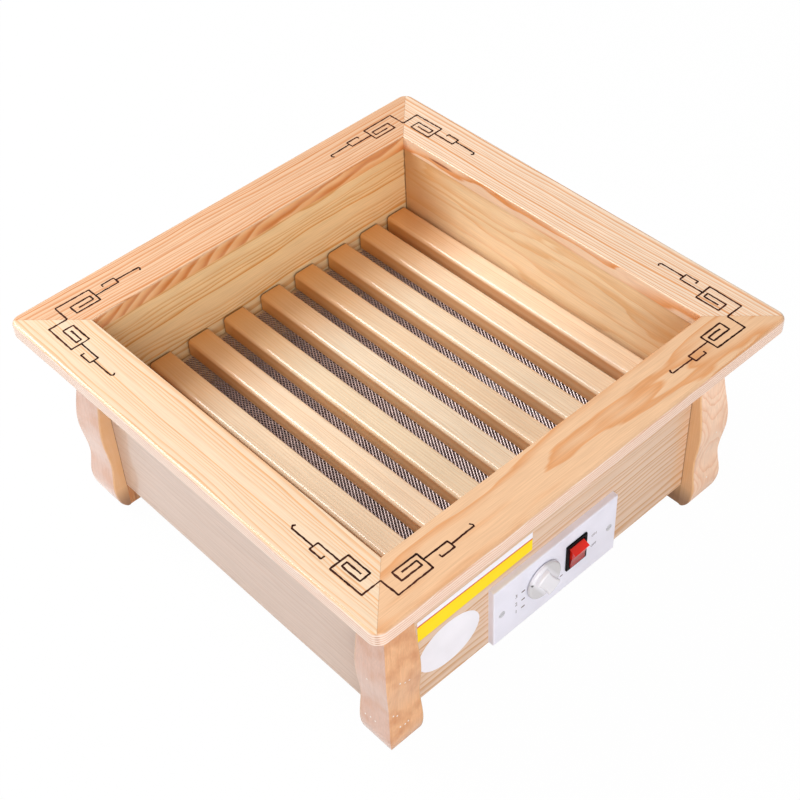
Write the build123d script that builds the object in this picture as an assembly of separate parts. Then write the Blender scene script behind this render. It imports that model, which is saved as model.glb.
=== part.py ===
from build123d import *
import os

# An electric wooden foot warmer: a square pine box on four swelling corner legs, with a wide
# mitred frame round the top. The feet rest on a slatted grate 80 mm below the frame. Two
# heating tubes lie in a reflector tray under the grate, and a control plate with a dial and
# a rocker switch sits low on the front wall.
# Millimetres. +Z is up, z = 0 is the ground, the front with the controls faces -Y.

# ---- Overall form -----------------------------------------------------------------------
TOP_SIZE = 450.0          # outer side of the square top frame
TOTAL_HEIGHT = 212.0      # ground to the top of the frame
FRAME_WIDTH = 50.0        # width of each top board
FRAME_THICKNESS = 14.0
FRAME_CORNER_RADIUS = 10.0
FRAME_TOP_ROUND = 3.0     # round-over of the outer top edge
FRAME_ARRIS = 1.0         # eased inner and lower edges

# ---- Box walls --------------------------------------------------------------------------
FRAME_OVERHANG = 39.0     # frame beyond the outside of the walls
WALL_THICKNESS = 10.0
WALL_BOTTOM = 27.0        # ground to the lower edge of the walls
CORD_HOLE_DIAMETER = 10.0
CORD_HOLE_INSET = 66.0    # hole axis from the inside of the right wall
CORD_HOLE_RISE = 30.0     # hole centre above the lower edge of the back wall

# ---- Legs: each is two mitred boards with a swelling face --------------------------------
LEG_WIDTH = 23.1          # from the outside of the wall corner to the straight leg edge
LEG_TOP_SWELL = 12.0      # thickness under the frame
LEG_NECK_SWELL = 8.2      # thickness at the hollow below the frame
LEG_NECK_HEIGHT = 137.0
LEG_KNEE_SWELL = 12.9     # thickness at the knee
LEG_KNEE_HEIGHT = 88.0
LEG_WAIST_SWELL = 10.1    # thickness at the waist
LEG_WAIST_HEIGHT = 54.0
LEG_ANKLE_SWELL = 12.7    # thickness at the ankle
LEG_ANKLE_HEIGHT = 27.0
LEG_TOE_SWELL = 10.7      # thickness where the sole starts to roll in
LEG_TOE_HEIGHT = 12.0
LEG_SOLE = 3.4            # flat part of the sole
LEG_TOE_ROLL = 0.55       # middle of the toe's roll, as a share of its width
LEG_TOE_LIFT = 0.38       # and as a share of its height
LEG_EDGE_ROUND = 1.2

# ---- Leg blocks: each fills the corner of a leg below the walls --------------------------
LEG_BLOCK_GAP = 0.6       # the block ends this far above the ground

# ---- Grate ------------------------------------------------------------------------------
GRATE_RISE = 105.0        # top of the slats above the lower edge of the walls
SLAT_COUNT = 9
SLAT_WIDTH = 24.0
SLAT_THICKNESS = 16.0
SLAT_ROUND = 3.5
SLAT_ROW_MARGIN = 10.3    # the even row of slats starts and ends this far inside the grate
GRATE_SHIFT = 3.3         # row of slats right of the middle of the box
SLAT_SHIFTS = (0.0, -0.3, 0.4, -0.3, 1.4, 0.8, 0.6, -0.3, -6.1)   # hand-nailed, off the even row
GRATE_CLEARANCE = 0.7     # between the grate and the opening of the frame
BATTEN_WIDTH = 38.0
BATTEN_THICKNESS = 12.0
MESH_THICKNESS = 1.8
MESH_MARGIN = 4.0         # the mesh ends this far inside the slat ends
MESH_ACROSS = 14          # diamond openings across the slats, as drawn
MESH_ALONG = 9            # diamond openings along the slats, as drawn
MESH_STRAND = 4.0         # width of the strands between them, as drawn
SEAT_GAP = 0.3            # lift-out pieces stand this far off their seats

# ---- Supports inside the box ------------------------------------------------------------
POST_SIDE = 24.0
RAIL_DEPTH = 14.0
RAIL_HEIGHT = 15.0
BASE_THICKNESS = 6.0
BASE_RECESS = 3.0         # base board above the lower edge of the walls
BASE_CLEARANCE = 0.5

# ---- Reflector tray, its stand-offs and the heating tubes ---------------------------------
TRAY_WALL_GAP = 26.0      # between the tray rim and the side walls
TRAY_SHIELD_GAP = 4.0     # between the tray rim and the heat shield
TRAY_DEPTH = 44.0
TRAY_FLARE = 22.0         # each wall leans out this far over the depth
TRAY_FLANGE = 8.0
TRAY_CORNER_RADIUS = 12.0
SHEET = 0.8
STANDOFF_HEIGHT = 12.0
STANDOFF_DIAMETER = 10.0
STANDOFF_INSET = 14.0     # from the edge of the tray floor to the stand-off axis
TUBE_DIAMETER = 14.0
TUBE_WALL = 1.5
TUBE_INSET = 52.0         # tube axis from the edge of the tray floor
TUBE_RISE = 29.0          # tube axis above the tray floor
COIL_CLEARANCE = 0.3
CAP_DIAMETER = 18.0
CAP_LENGTH = 20.0
CAP_SOCKET = 8.0          # length of tube inside each cap
CAP_REACH = 2.0           # the caps end this far outside the tray floor
CAP_GROOVE_DEPTH = 1.5
BRACKET_SHEET = 1.2
BRACKET_MARGIN = 27.0     # bracket beyond the axis of each tube
BRACKET_FOOT = 14.0
BRACKET_RISE = 7.0        # bracket above the tube axis
BRACKET_HOLE_SPACING = 40.0
CUTOUT_DIAMETER = 16.0
CUTOUT_HEIGHT = 7.0
CUTOUT_FLANGE_LENGTH = 24.0
CUTOUT_FLANGE_WIDTH = 9.0
CUTOUT_FLANGE_RADIUS = 3.0
CUTOUT_FLANGE_SHEET = 0.7
SHIELD_HEIGHT = 58.0
SHIELD_FOOT = 12.0
SHIELD_OFFSET = 42.0      # from the inside of the front wall

# ---- Control plate ----------------------------------------------------------------------
PLATE_WIDTH = 145.0
PLATE_HEIGHT = 67.5
PLATE_DEPTH = 6.3         # how far the plate stands off the wall
PLATE_SKIN = 2.2
PLATE_ROUND = 1.4
PLATE_X = -6.2            # centre of the plate from the middle of the wall
PLATE_FOOT_GAP = 1.2      # lower edge of the plate above the lower edge of the wall
PLATE_BOSS_DIAMETER = 10.0
PLATE_SCREW_INSET = 9.0
PLATE_WELL_DEPTH = 1.6
WINDOW_MARGIN = 3.0       # wall cut-out round the bodies behind the plate

# ---- Dial: regulator, bush nut, shaft and knob --------------------------------------------
DIAL_X = -23.0
DIAL_ABOVE_MIDDLE = 4.4   # dial axis above the middle of the plate
REGULATOR_SIDE = 31.0
REGULATOR_DEPTH = 19.0
REGULATOR_CORNER = 4.0
BUSH_DIAMETER = 9.5
BUSH_LENGTH = 4.8
BUSH_NUT_ACROSS_FLATS = 13.0
BUSH_NUT_THICKNESS = 2.0
SHAFT_DIAMETER = 6.0
SHAFT_FLAT = 1.3          # depth of the flat that drives the knob
SHAFT_PLAY = 0.1          # running gap of the shaft in its bush
SHAFT_LENGTH = 14.8
SHAFT_TAIL = 6.0          # length of shaft inside the regulator
KNOB_DIAMETER = 37.0
KNOB_SKIRT = 3.2
KNOB_SKIRT_ROUND = 2.2
KNOB_GAP = 0.8            # skirt clear of the plate
KNOB_HEIGHT = 7.4
KNOB_GRIP_LENGTH = 27.0
KNOB_GRIP_END = 16.0      # width of the finger grip at its ends
KNOB_GRIP_WAIST = 13.5
KNOB_GRIP_BULGE = 1.7     # rounding of the ends of the grip in plan
KNOB_GRIP_ROUND = 1.6
KNOB_GRIP_DRAFT = 3.0     # lean of the walls of the grip, in degrees
KNOB_TILT = 31.0          # the grip leans this far from upright
KNOB_HOLLOW = 21.0        # diameter of the hollow over the bush nut
KNOB_BORE_CLEARANCE = 0.1

# ---- Rocker switch ------------------------------------------------------------------------
SWITCH_X = 16.35
SWITCH_ABOVE_MIDDLE = 4.6 # switch centre above the middle of the plate
BEZEL_WIDTH = 24.3
BEZEL_HEIGHT = 30.5
BEZEL_THICKNESS = 1.7
BEZEL_CORNER_RADIUS = 1.0
BEZEL_ROUND = 0.6
SWITCH_BODY_WIDTH = 21.6
SWITCH_BODY_HEIGHT = 28.0
SWITCH_DEPTH = 22.0
SWITCH_FIT = 0.2
RECESS_WIDTH = 18.0
RECESS_HEIGHT = 25.5
RECESS_DEPTH = 19.0
ROCKER_WIDTH = 17.2
ROCKER_PIVOT_DEPTH = 7.0  # pivot behind the front of the bezel
ROCKER_LIP_RADIUS = 14.4
ROCKER_LIP_ANGLE = 42.0   # each lip from the middle of the rocker, about the pivot
ROCKER_ROOT_RADIUS = 11.6
ROCKER_ROOT_ANGLE = 72.0
ROCKER_DISH = 1.6         # hollow of the face between the lips
ROCKER_THROW = 14.0       # tilt to each side of the middle
ROCKER_HUB_RADIUS = 4.5
ROCKER_PIN_DIAMETER = 3.0
ROCKER_PIN_LENGTH = 1.5
ROCKER_PIN_PLAY = 0.1
TERMINAL_WIDTH = 6.3
TERMINAL_THICKNESS = 0.8
TERMINAL_LENGTH = 9.0
TERMINAL_SPACING = 8.0
TERMINAL_HOLE = 1.6
TERMINAL_HOLE_REACH = 5.9 # hole from the back of the switch

# ---- Terminal block and screws --------------------------------------------------------------
BLOCK_POLES = 3
BLOCK_PITCH = 10.0
BLOCK_WIDTH = 18.0
BLOCK_HEIGHT = 13.0
BLOCK_WIRE_HOLE = 3.6
BLOCK_SCREW_HOLE = 3.0
BLOCK_FROM_WALL = 32.0
SCREW_DIAMETER = 3.0
SCREW_HEAD_DIAMETER = 6.6
SCREW_HEAD_HEIGHT = 1.8
SCREW_SLOT = 0.9
SCREW_LENGTH = 14.0
SHORT_SCREW_LENGTH = 4.0
SCREW_HOLE_CLEARANCE = 0.1

# ---- Worked out from the above --------------------------------------------------------------
frame_underside = TOTAL_HEIGHT - FRAME_THICKNESS
opening = TOP_SIZE - 2 * FRAME_WIDTH
wall_out = TOP_SIZE / 2 - FRAME_OVERHANG
wall_in = wall_out - WALL_THICKNESS
cord_hole_x = wall_in - CORD_HOLE_INSET
slat_top = WALL_BOTTOM + GRATE_RISE
slat_bottom = slat_top - SLAT_THICKNESS
batten_top = slat_bottom - MESH_THICKNESS
batten_bottom = batten_top - BATTEN_THICKNESS
seat = batten_bottom - SEAT_GAP
grate_reach = opening / 2 - GRATE_CLEARANCE
slat_pitch = 2 * (grate_reach - SLAT_ROW_MARGIN) / (SLAT_COUNT - 1)
base_bottom = WALL_BOTTOM + BASE_RECESS
base_top = base_bottom + BASE_THICKNESS
post_centre = wall_in - POST_SIDE / 2
tray_floor = base_top + STANDOFF_HEIGHT
tray_top = tray_floor + TRAY_DEPTH
tray_rim = TRAY_FLARE + TRAY_FLANGE
tray_half_x = wall_in - TRAY_WALL_GAP - tray_rim
tray_half_y = wall_in - SHIELD_OFFSET - TRAY_SHIELD_GAP - tray_rim
tube_z = tray_floor + SHEET + TUBE_RISE
tube_y = tray_half_y - TUBE_INSET
bracket_x = tray_half_x + CAP_REACH - CAP_LENGTH / 2
tube_reach = bracket_x - CAP_LENGTH / 2 + CAP_SOCKET
standoff_x = tray_half_x - STANDOFF_INSET
standoff_y = tray_half_y - STANDOFF_INSET
plate_back = -wall_out
plate_front = plate_back - PLATE_DEPTH
plate_middle = WALL_BOTTOM + PLATE_FOOT_GAP + PLATE_HEIGHT / 2
plate_screw_reach = PLATE_WIDTH / 2 - PLATE_SCREW_INSET
plate_screws_x = (PLATE_X - plate_screw_reach, PLATE_X + plate_screw_reach)
dial_z = plate_middle + DIAL_ABOVE_MIDDLE
switch_z = plate_middle + SWITCH_ABOVE_MIDDLE
bezel_front = plate_front - BEZEL_THICKNESS
pivot_y = bezel_front + ROCKER_PIVOT_DEPTH
hole_diameter = SCREW_DIAMETER + 2 * SCREW_HOLE_CLEARANCE
corners = [(x, y) for x in (-1, 1) for y in (-1, 1)]
side_word = {-1: "left", 1: "right"}
end_word = {-1: "front", 1: "back"}


def box(x0, x1, y0, y1, z0, z1):
    """A block between two opposite corners."""
    middle = Pos((x0 + x1) / 2, (y0 + y1) / 2, (z0 + z1) / 2)
    return middle * Box(x1 - x0, y1 - y0, z1 - z0)


def rod(x, y, z, radius, length, along="z"):
    """A round bar that starts at x, y, z and runs the given length along +Z, +Y or +X."""
    turn = {"z": Rot(0, 0, 0), "y": Rot(-90, 0, 0), "x": Rot(0, 90, 0)}[along]
    return Pos(x, y, z) * turn * extrude(Circle(radius), length)


# ---- Top frame --------------------------------------------------------------------------


def top_frame():
    """The whole frame ring, moulded before it is sawn into four boards at the mitres."""
    plan = RectangleRounded(TOP_SIZE, TOP_SIZE, FRAME_CORNER_RADIUS) - Rectangle(opening, opening)
    ring = Pos(0, 0, frame_underside) * extrude(plan, FRAME_THICKNESS)
    upper = ring.faces().sort_by(Axis.Z)[-1]
    ring = fillet(upper.outer_wire().edges(), FRAME_TOP_ROUND)
    upper = ring.faces().sort_by(Axis.Z)[-1]
    ring = fillet(upper.inner_wires()[0].edges(), FRAME_ARRIS)
    lower = ring.faces().sort_by(Axis.Z)[0]
    return fillet(lower.outer_wire().edges(), FRAME_ARRIS)


def mitre_wedge(turn):
    """The quarter of the plan that belongs to the board at this turn from the front."""
    reach = TOP_SIZE
    outline = Polyline((0, 0), (-reach, -reach), (reach, -reach), close=True)
    return Rot(0, 0, turn) * extrude(make_face(outline), TOTAL_HEIGHT)


# ---- Walls ------------------------------------------------------------------------------


def front_wall():
    """Front wall with the window behind the control plate and the plate's screw holes."""
    wall = box(-wall_out, wall_out, -wall_out, -wall_in, WALL_BOTTOM, frame_underside)
    left = DIAL_X - REGULATOR_SIDE / 2 - WINDOW_MARGIN
    right = SWITCH_X + SWITCH_BODY_WIDTH / 2 + WINDOW_MARGIN
    low = dial_z - REGULATOR_SIDE / 2 - WINDOW_MARGIN
    high = max(dial_z + REGULATOR_SIDE / 2, switch_z + SWITCH_BODY_HEIGHT / 2) + WINDOW_MARGIN
    wall -= box(left, right, -wall_out, -wall_in, low, high)
    for x in plate_screws_x:
        wall -= rod(x, -wall_out, plate_middle, hole_diameter / 2, WALL_THICKNESS, "y")
    return wall


def back_wall():
    """Back wall with the hole where the mains cord enters."""
    wall = box(-wall_out, wall_out, wall_in, wall_out, WALL_BOTTOM, frame_underside)
    hole_z = WALL_BOTTOM + CORD_HOLE_RISE
    return wall - rod(cord_hole_x, wall_in, hole_z, CORD_HOLE_DIAMETER / 2, WALL_THICKNESS, "y")


# ---- Legs -------------------------------------------------------------------------------


def leg_board():
    """The front board of the front left leg: a swelling face, mitred at the corner."""
    face = -wall_out
    curve = Spline(
        (0, face - LEG_TOP_SWELL, frame_underside),
        (0, face - LEG_NECK_SWELL, LEG_NECK_HEIGHT),
        (0, face - LEG_KNEE_SWELL, LEG_KNEE_HEIGHT),
        (0, face - LEG_WAIST_SWELL, LEG_WAIST_HEIGHT),
        (0, face - LEG_ANKLE_SWELL, LEG_ANKLE_HEIGHT),
        (0, face - LEG_TOE_SWELL, LEG_TOE_HEIGHT),
    )
    roll = LEG_SOLE + LEG_TOE_ROLL * (LEG_TOE_SWELL - LEG_SOLE)
    toe_middle = (0, face - roll, LEG_TOE_LIFT * LEG_TOE_HEIGHT)
    toe = ThreePointArc(curve @ 1, toe_middle, (0, face - LEG_SOLE, 0))
    sole = Line(toe @ 1, (0, face, 0))
    back = Line(sole @ 1, (0, face, frame_underside))
    top = Line(back @ 1, curve @ 0)
    section = make_face([curve, toe, sole, back, top])
    reach = TOP_SIZE / 2
    board = Pos(-reach, 0, 0) * extrude(section, FRAME_OVERHANG + LEG_WIDTH, dir=(1, 0, 0))
    edge = LEG_WIDTH - wall_out
    plan = Polyline((face, face), (-reach, -reach), (edge, -reach), (edge, face), close=True)
    board &= extrude(make_face(plan), frame_underside)
    free_edge = board.faces().sort_by(Axis.X)[-1].edges().sort_by(Axis.Y)[0]
    return fillet(free_edge, LEG_EDGE_ROUND)


def leg_block(x, y):
    """The glued block in the corner of a leg, under the ends of two walls."""
    middle = wall_out - LEG_WIDTH / 2
    half = LEG_WIDTH / 2
    return box(
        x * middle - half, x * middle + half, y * middle - half, y * middle + half,
        LEG_BLOCK_GAP, WALL_BOTTOM,
    )


def to_corner(piece, x, y):
    """Mirror a piece of the front left corner to the corner with these signs."""
    if x > 0:
        piece = mirror(piece, Plane.YZ)
    if y > 0:
        piece = mirror(piece, Plane.XZ)
    return piece


# ---- Grate ------------------------------------------------------------------------------


def slat_x(number):
    """Middle of a slat, counted from 0 at the left wall."""
    even = (number - (SLAT_COUNT - 1) / 2) * slat_pitch
    return GRATE_SHIFT + even + SLAT_SHIFTS[number]


def slat(x):
    """A grate slat with both upper long edges rounded."""
    half = SLAT_WIDTH / 2
    bar = box(x - half, x + half, -grate_reach, grate_reach, slat_bottom, slat_top)
    upper = bar.faces().sort_by(Axis.Z)[-1]
    return fillet(upper.edges().filter_by(Axis.Y), SLAT_ROUND)


def grate_batten(end):
    """The batten under one end of the slats."""
    inner = end * (grate_reach - BATTEN_WIDTH)
    outer = end * grate_reach
    low, high = sorted((inner, outer))
    return box(-grate_reach, grate_reach, low, high, batten_bottom, batten_top)


def guard_mesh():
    """The guard mesh between slats and battens, a sheet with fewer, wider diamond openings."""
    side = 2 * (grate_reach - MESH_MARGIN)
    across = (side - MESH_STRAND) / MESH_ACROSS
    along = (side - MESH_STRAND) / MESH_ALONG
    half_x = (across - MESH_STRAND) / 2
    half_y = half_x * along / across
    diamond = make_face(
        Polyline((-half_x, 0), (0, -half_y), (half_x, 0), (0, half_y), close=True)
    )
    sheet = Rectangle(side, side) - GridLocations(across, along, MESH_ACROSS, MESH_ALONG) * diamond
    sheet -= GridLocations(across, along, MESH_ACROSS - 1, MESH_ALONG - 1) * diamond
    return Pos(0, 0, batten_top) * extrude(sheet, MESH_THICKNESS)


# ---- Supports inside the box --------------------------------------------------------------


def corner_post(x, y):
    """A post that stiffens a corner of the box and carries a corner of the grate."""
    x *= post_centre
    y *= post_centre
    half = POST_SIDE / 2
    depth = SCREW_LENGTH - BASE_THICKNESS + SCREW_HEAD_HEIGHT
    post = box(x - half, x + half, y - half, y + half, base_top, seat)
    return post - rod(x, y, base_top, hole_diameter / 2, depth)


def grate_rail(end):
    """The rail on the front or back wall that carries the grate between two posts."""
    reach = wall_in - POST_SIDE
    low, high = sorted((end * wall_in, end * (wall_in - RAIL_DEPTH)))
    return box(-reach, reach, low, high, seat - RAIL_HEIGHT, seat)


def base_board():
    """The plywood floor of the box, drilled for the screws of the posts and the tray."""
    half = wall_in - BASE_CLEARANCE
    board = box(-half, half, -half, half, base_bottom, base_top)
    for x, y in corners:
        board -= rod(x * post_centre, y * post_centre, base_bottom, hole_diameter / 2, BASE_THICKNESS)
        board -= rod(
            x * post_centre, y * post_centre, base_bottom,
            SCREW_HEAD_DIAMETER / 2 + SCREW_HOLE_CLEARANCE, SCREW_HEAD_HEIGHT,
        )
        board -= rod(x * standoff_x, y * standoff_y, base_bottom, hole_diameter / 2, BASE_THICKNESS)
    return board


# ---- Reflector tray and what it carries ------------------------------------------------------


def tray_form(inset):
    """The flared hollow of the tray, drawn in by inset on every wall."""
    sections = []
    for z, lean in ((tray_floor, -inset), (tray_top, TRAY_FLARE - inset)):
        width = 2 * (tray_half_x + lean)
        depth = 2 * (tray_half_y + lean)
        sections.append(Pos(0, 0, z) * RectangleRounded(width, depth, TRAY_CORNER_RADIUS + lean))
    return loft(sections)


def reflector_tray():
    """The flared sheet tray with a flat flange round its rim."""
    reach_x = tray_half_x + tray_rim
    reach_y = tray_half_y + tray_rim
    flange = RectangleRounded(2 * reach_x, 2 * reach_y, TRAY_CORNER_RADIUS + tray_rim)
    tray = tray_form(0) + Pos(0, 0, tray_top - SHEET) * extrude(flange, SHEET)
    floor = box(-reach_x, reach_x, -reach_y, reach_y, tray_floor, tray_floor + SHEET)
    tray -= tray_form(SHEET) - floor
    for x, y in corners:
        tray -= rod(x * standoff_x, y * standoff_y, tray_floor, hole_diameter / 2, SHEET)
        tray -= rod(
            x * (bracket_x - BRACKET_FOOT / 2), y * BRACKET_HOLE_SPACING, tray_floor,
            hole_diameter / 2, SHEET,
        )
    return tray


def tray_standoff(x, y):
    """A spacer that holds the tray off the base board."""
    spacer = rod(x * standoff_x, y * standoff_y, base_top, STANDOFF_DIAMETER / 2, STANDOFF_HEIGHT)
    return spacer - rod(x * standoff_x, y * standoff_y, base_top, hole_diameter / 2, STANDOFF_HEIGHT)


def tube_bracket(side):
    """A folded sheet bracket with an open slot for each tube end."""
    foot_z = tray_floor + SHEET
    top = tube_z + BRACKET_RISE
    half = tube_y + BRACKET_MARGIN
    slot = CAP_DIAMETER - 2 * CAP_GROOVE_DEPTH + 2 * SCREW_HOLE_CLEARANCE
    wall = box(bracket_x - BRACKET_SHEET / 2, bracket_x + BRACKET_SHEET / 2, -half, half, foot_z, top)
    foot = box(bracket_x - BRACKET_FOOT, bracket_x, -half, half, foot_z, foot_z + BRACKET_SHEET)
    plate = wall + foot
    for end in (-1, 1):
        y = end * tube_y
        plate -= rod(bracket_x - BRACKET_SHEET, y, tube_z, slot / 2, 2 * BRACKET_SHEET, "x")
        plate -= box(
            bracket_x - BRACKET_SHEET, bracket_x + BRACKET_SHEET, y - slot / 2, y + slot / 2, tube_z, top
        )
        plate -= rod(
            bracket_x - BRACKET_FOOT / 2, end * BRACKET_HOLE_SPACING, foot_z,
            hole_diameter / 2, BRACKET_SHEET,
        )
    return mirror(plate, Plane.YZ) if side < 0 else plate


def tube_cap(side, y):
    """A ceramic end cap with a socket for the tube and a groove for the bracket."""
    radius = CAP_DIAMETER / 2
    start = bracket_x - CAP_LENGTH / 2
    cap = rod(start, y, tube_z, radius, CAP_LENGTH, "x")
    cap -= rod(start, y, tube_z, TUBE_DIAMETER / 2, CAP_SOCKET, "x")
    groove_width = BRACKET_SHEET + 2 * SCREW_HOLE_CLEARANCE
    groove_start = bracket_x - groove_width / 2
    groove = rod(groove_start, y, tube_z, radius, groove_width, "x")
    cap -= groove - rod(groove_start, y, tube_z, radius - CAP_GROOVE_DEPTH, groove_width, "x")
    return mirror(cap, Plane.YZ) if side < 0 else cap


def heating_tube(y):
    """A quartz tube, open at both ends."""
    tube = rod(-tube_reach, y, tube_z, TUBE_DIAMETER / 2, 2 * tube_reach, "x")
    return tube - rod(-tube_reach, y, tube_z, TUBE_DIAMETER / 2 - TUBE_WALL, 2 * tube_reach, "x")


def heating_coil(y):
    """The close-wound coil inside a tube, as its outer shape."""
    radius = TUBE_DIAMETER / 2 - TUBE_WALL - COIL_CLEARANCE
    return rod(-tube_reach, y, tube_z, radius, 2 * tube_reach, "x")


def thermal_cutout():
    """The safety cut-out disc under the tray floor, hung by its flange."""
    plan = RectangleRounded(CUTOUT_FLANGE_LENGTH, CUTOUT_FLANGE_WIDTH, CUTOUT_FLANGE_RADIUS)
    flange = extrude(plan, CUTOUT_FLANGE_SHEET)
    disc = Pos(0, 0, -CUTOUT_HEIGHT) * extrude(Circle(CUTOUT_DIAMETER / 2), CUTOUT_HEIGHT)
    return Pos(0, 0, tray_floor - CUTOUT_FLANGE_SHEET) * (flange + disc)


def heat_shield():
    """The folded sheet that keeps the heat off the controls."""
    half = wall_in - POST_SIDE - BASE_CLEARANCE
    y = -wall_in + SHIELD_OFFSET
    wall = box(-half, half, y - SHEET, y, base_top, base_top + SHIELD_HEIGHT)
    return wall + box(-half, half, y - SHIELD_FOOT, y, base_top, base_top + SHEET)


# ---- Control plate ---------------------------------------------------------------------------


def control_plate():
    """The moulded plate: an open-backed shell with screw bosses and two control holes."""
    hollow = PLATE_DEPTH - PLATE_SKIN
    centre = Plane.XZ.offset(-plate_back) * Pos(PLATE_X, plate_middle)
    shell = extrude(centre * Rectangle(PLATE_WIDTH, PLATE_HEIGHT), PLATE_DEPTH)
    shell = fillet(shell.faces().sort_by(Axis.Y)[0].edges(), PLATE_ROUND)
    inner = Rectangle(PLATE_WIDTH - 2 * PLATE_SKIN, PLATE_HEIGHT - 2 * PLATE_SKIN)
    shell -= extrude(centre * inner, hollow)
    well = SCREW_HEAD_DIAMETER / 2 + SCREW_HOLE_CLEARANCE
    for x in plate_screws_x:
        shell += rod(x, plate_back - hollow, plate_middle, PLATE_BOSS_DIAMETER / 2, hollow, "y")
        shell -= rod(x, plate_front, plate_middle, well, PLATE_WELL_DEPTH, "y")
        shell -= rod(x, plate_front, plate_middle, hole_diameter / 2, PLATE_DEPTH, "y")
    shell -= rod(DIAL_X, plate_front, dial_z, BUSH_DIAMETER / 2 + SCREW_HOLE_CLEARANCE, PLATE_DEPTH, "y")
    half_width = SWITCH_BODY_WIDTH / 2 + SWITCH_FIT
    half_height = SWITCH_BODY_HEIGHT / 2 + SWITCH_FIT
    return shell - box(
        SWITCH_X - half_width, SWITCH_X + half_width, plate_front, plate_back,
        switch_z - half_height, switch_z + half_height,
    )


# ---- Dial ----------------------------------------------------------------------------------


def regulator():
    """The power regulator behind the plate, with the threaded bush that holds it there."""
    back_of_plate = plate_front + PLATE_SKIN
    case = extrude(RectangleRounded(REGULATOR_SIDE, REGULATOR_SIDE, REGULATOR_CORNER), REGULATOR_DEPTH)
    case = Pos(DIAL_X, back_of_plate, dial_z) * Rot(-90, 0, 0) * case
    case += rod(DIAL_X, back_of_plate - BUSH_LENGTH, dial_z, BUSH_DIAMETER / 2, BUSH_LENGTH, "y")
    bore = SHAFT_DIAMETER / 2 + SHAFT_PLAY
    tail = SHAFT_TAIL + SHAFT_PLAY
    return case - rod(DIAL_X, back_of_plate - BUSH_LENGTH, dial_z, bore, BUSH_LENGTH + tail, "y")


def bush_nut():
    """The thin nut that clamps the regulator to the plate."""
    nut = extrude(RegularPolygon(BUSH_NUT_ACROSS_FLATS / 2, 6, major_radius=False), BUSH_NUT_THICKNESS)
    nut = Pos(DIAL_X, plate_front - BUSH_NUT_THICKNESS, dial_z) * Rot(-90, 0, 0) * nut
    bore = BUSH_DIAMETER / 2 + SCREW_HOLE_CLEARANCE
    return nut - rod(DIAL_X, plate_front - BUSH_NUT_THICKNESS, dial_z, bore, BUSH_NUT_THICKNESS, "y")


def shaft_form(radius, flat_depth, length):
    """A round bar along +Z whose far part is flattened on one side."""
    bar = extrude(Circle(radius), length)
    cut = Pos(0, radius, length) * Box(2 * radius, 2 * flat_depth, 2 * (length - SHAFT_TAIL - BUSH_LENGTH))
    return bar - cut


def on_dial(piece, y):
    """Stand a piece drawn along +Z on the dial axis, pointing out of the plate from y."""
    return Pos(DIAL_X, y, dial_z) * Rot(90, 0, 0) * Rot(0, 0, KNOB_TILT) * piece


shaft_start = plate_front + PLATE_SKIN + SHAFT_TAIL


def dial_shaft():
    """The shaft of the regulator, with the flat that drives the knob."""
    return on_dial(shaft_form(SHAFT_DIAMETER / 2, SHAFT_FLAT, SHAFT_LENGTH), shaft_start)


def knob_grip():
    """The waisted finger bar across the knob, drawn in towards its top."""
    half_length = KNOB_GRIP_LENGTH / 2
    half_end = KNOB_GRIP_END / 2
    half_waist = KNOB_GRIP_WAIST / 2
    end_bulge = half_length + KNOB_GRIP_BULGE
    outline = [
        ThreePointArc((half_end, -half_length), (half_waist, 0), (half_end, half_length)),
        ThreePointArc((half_end, half_length), (0, end_bulge), (-half_end, half_length)),
        ThreePointArc((-half_end, half_length), (-half_waist, 0), (-half_end, -half_length)),
        ThreePointArc((-half_end, -half_length), (0, -end_bulge), (half_end, -half_length)),
    ]
    grip = extrude(make_face(outline), KNOB_HEIGHT, taper=KNOB_GRIP_DRAFT)
    return fillet(grip.faces().sort_by(Axis.Z)[-1].edges(), KNOB_GRIP_ROUND)


def dial_knob():
    """The knob: a domed skirt with the finger bar on it, hollow over the bush nut."""
    skirt = extrude(Circle(KNOB_DIAMETER / 2), KNOB_SKIRT)
    skirt = fillet(skirt.faces().sort_by(Axis.Z)[-1].edges(), KNOB_SKIRT_ROUND)
    knob = skirt + knob_grip()
    hollow_depth = BUSH_LENGTH - PLATE_SKIN - KNOB_GAP + SHAFT_PLAY
    knob -= extrude(Circle(KNOB_HOLLOW / 2), hollow_depth)
    shaft = shaft_form(
        SHAFT_DIAMETER / 2 + KNOB_BORE_CLEARANCE, SHAFT_FLAT, SHAFT_LENGTH + KNOB_BORE_CLEARANCE
    )
    knob_start = plate_front - KNOB_GAP
    knob -= Pos(0, 0, knob_start - shaft_start) * shaft
    return on_dial(knob, knob_start)


# ---- Rocker switch ----------------------------------------------------------------------------


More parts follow.
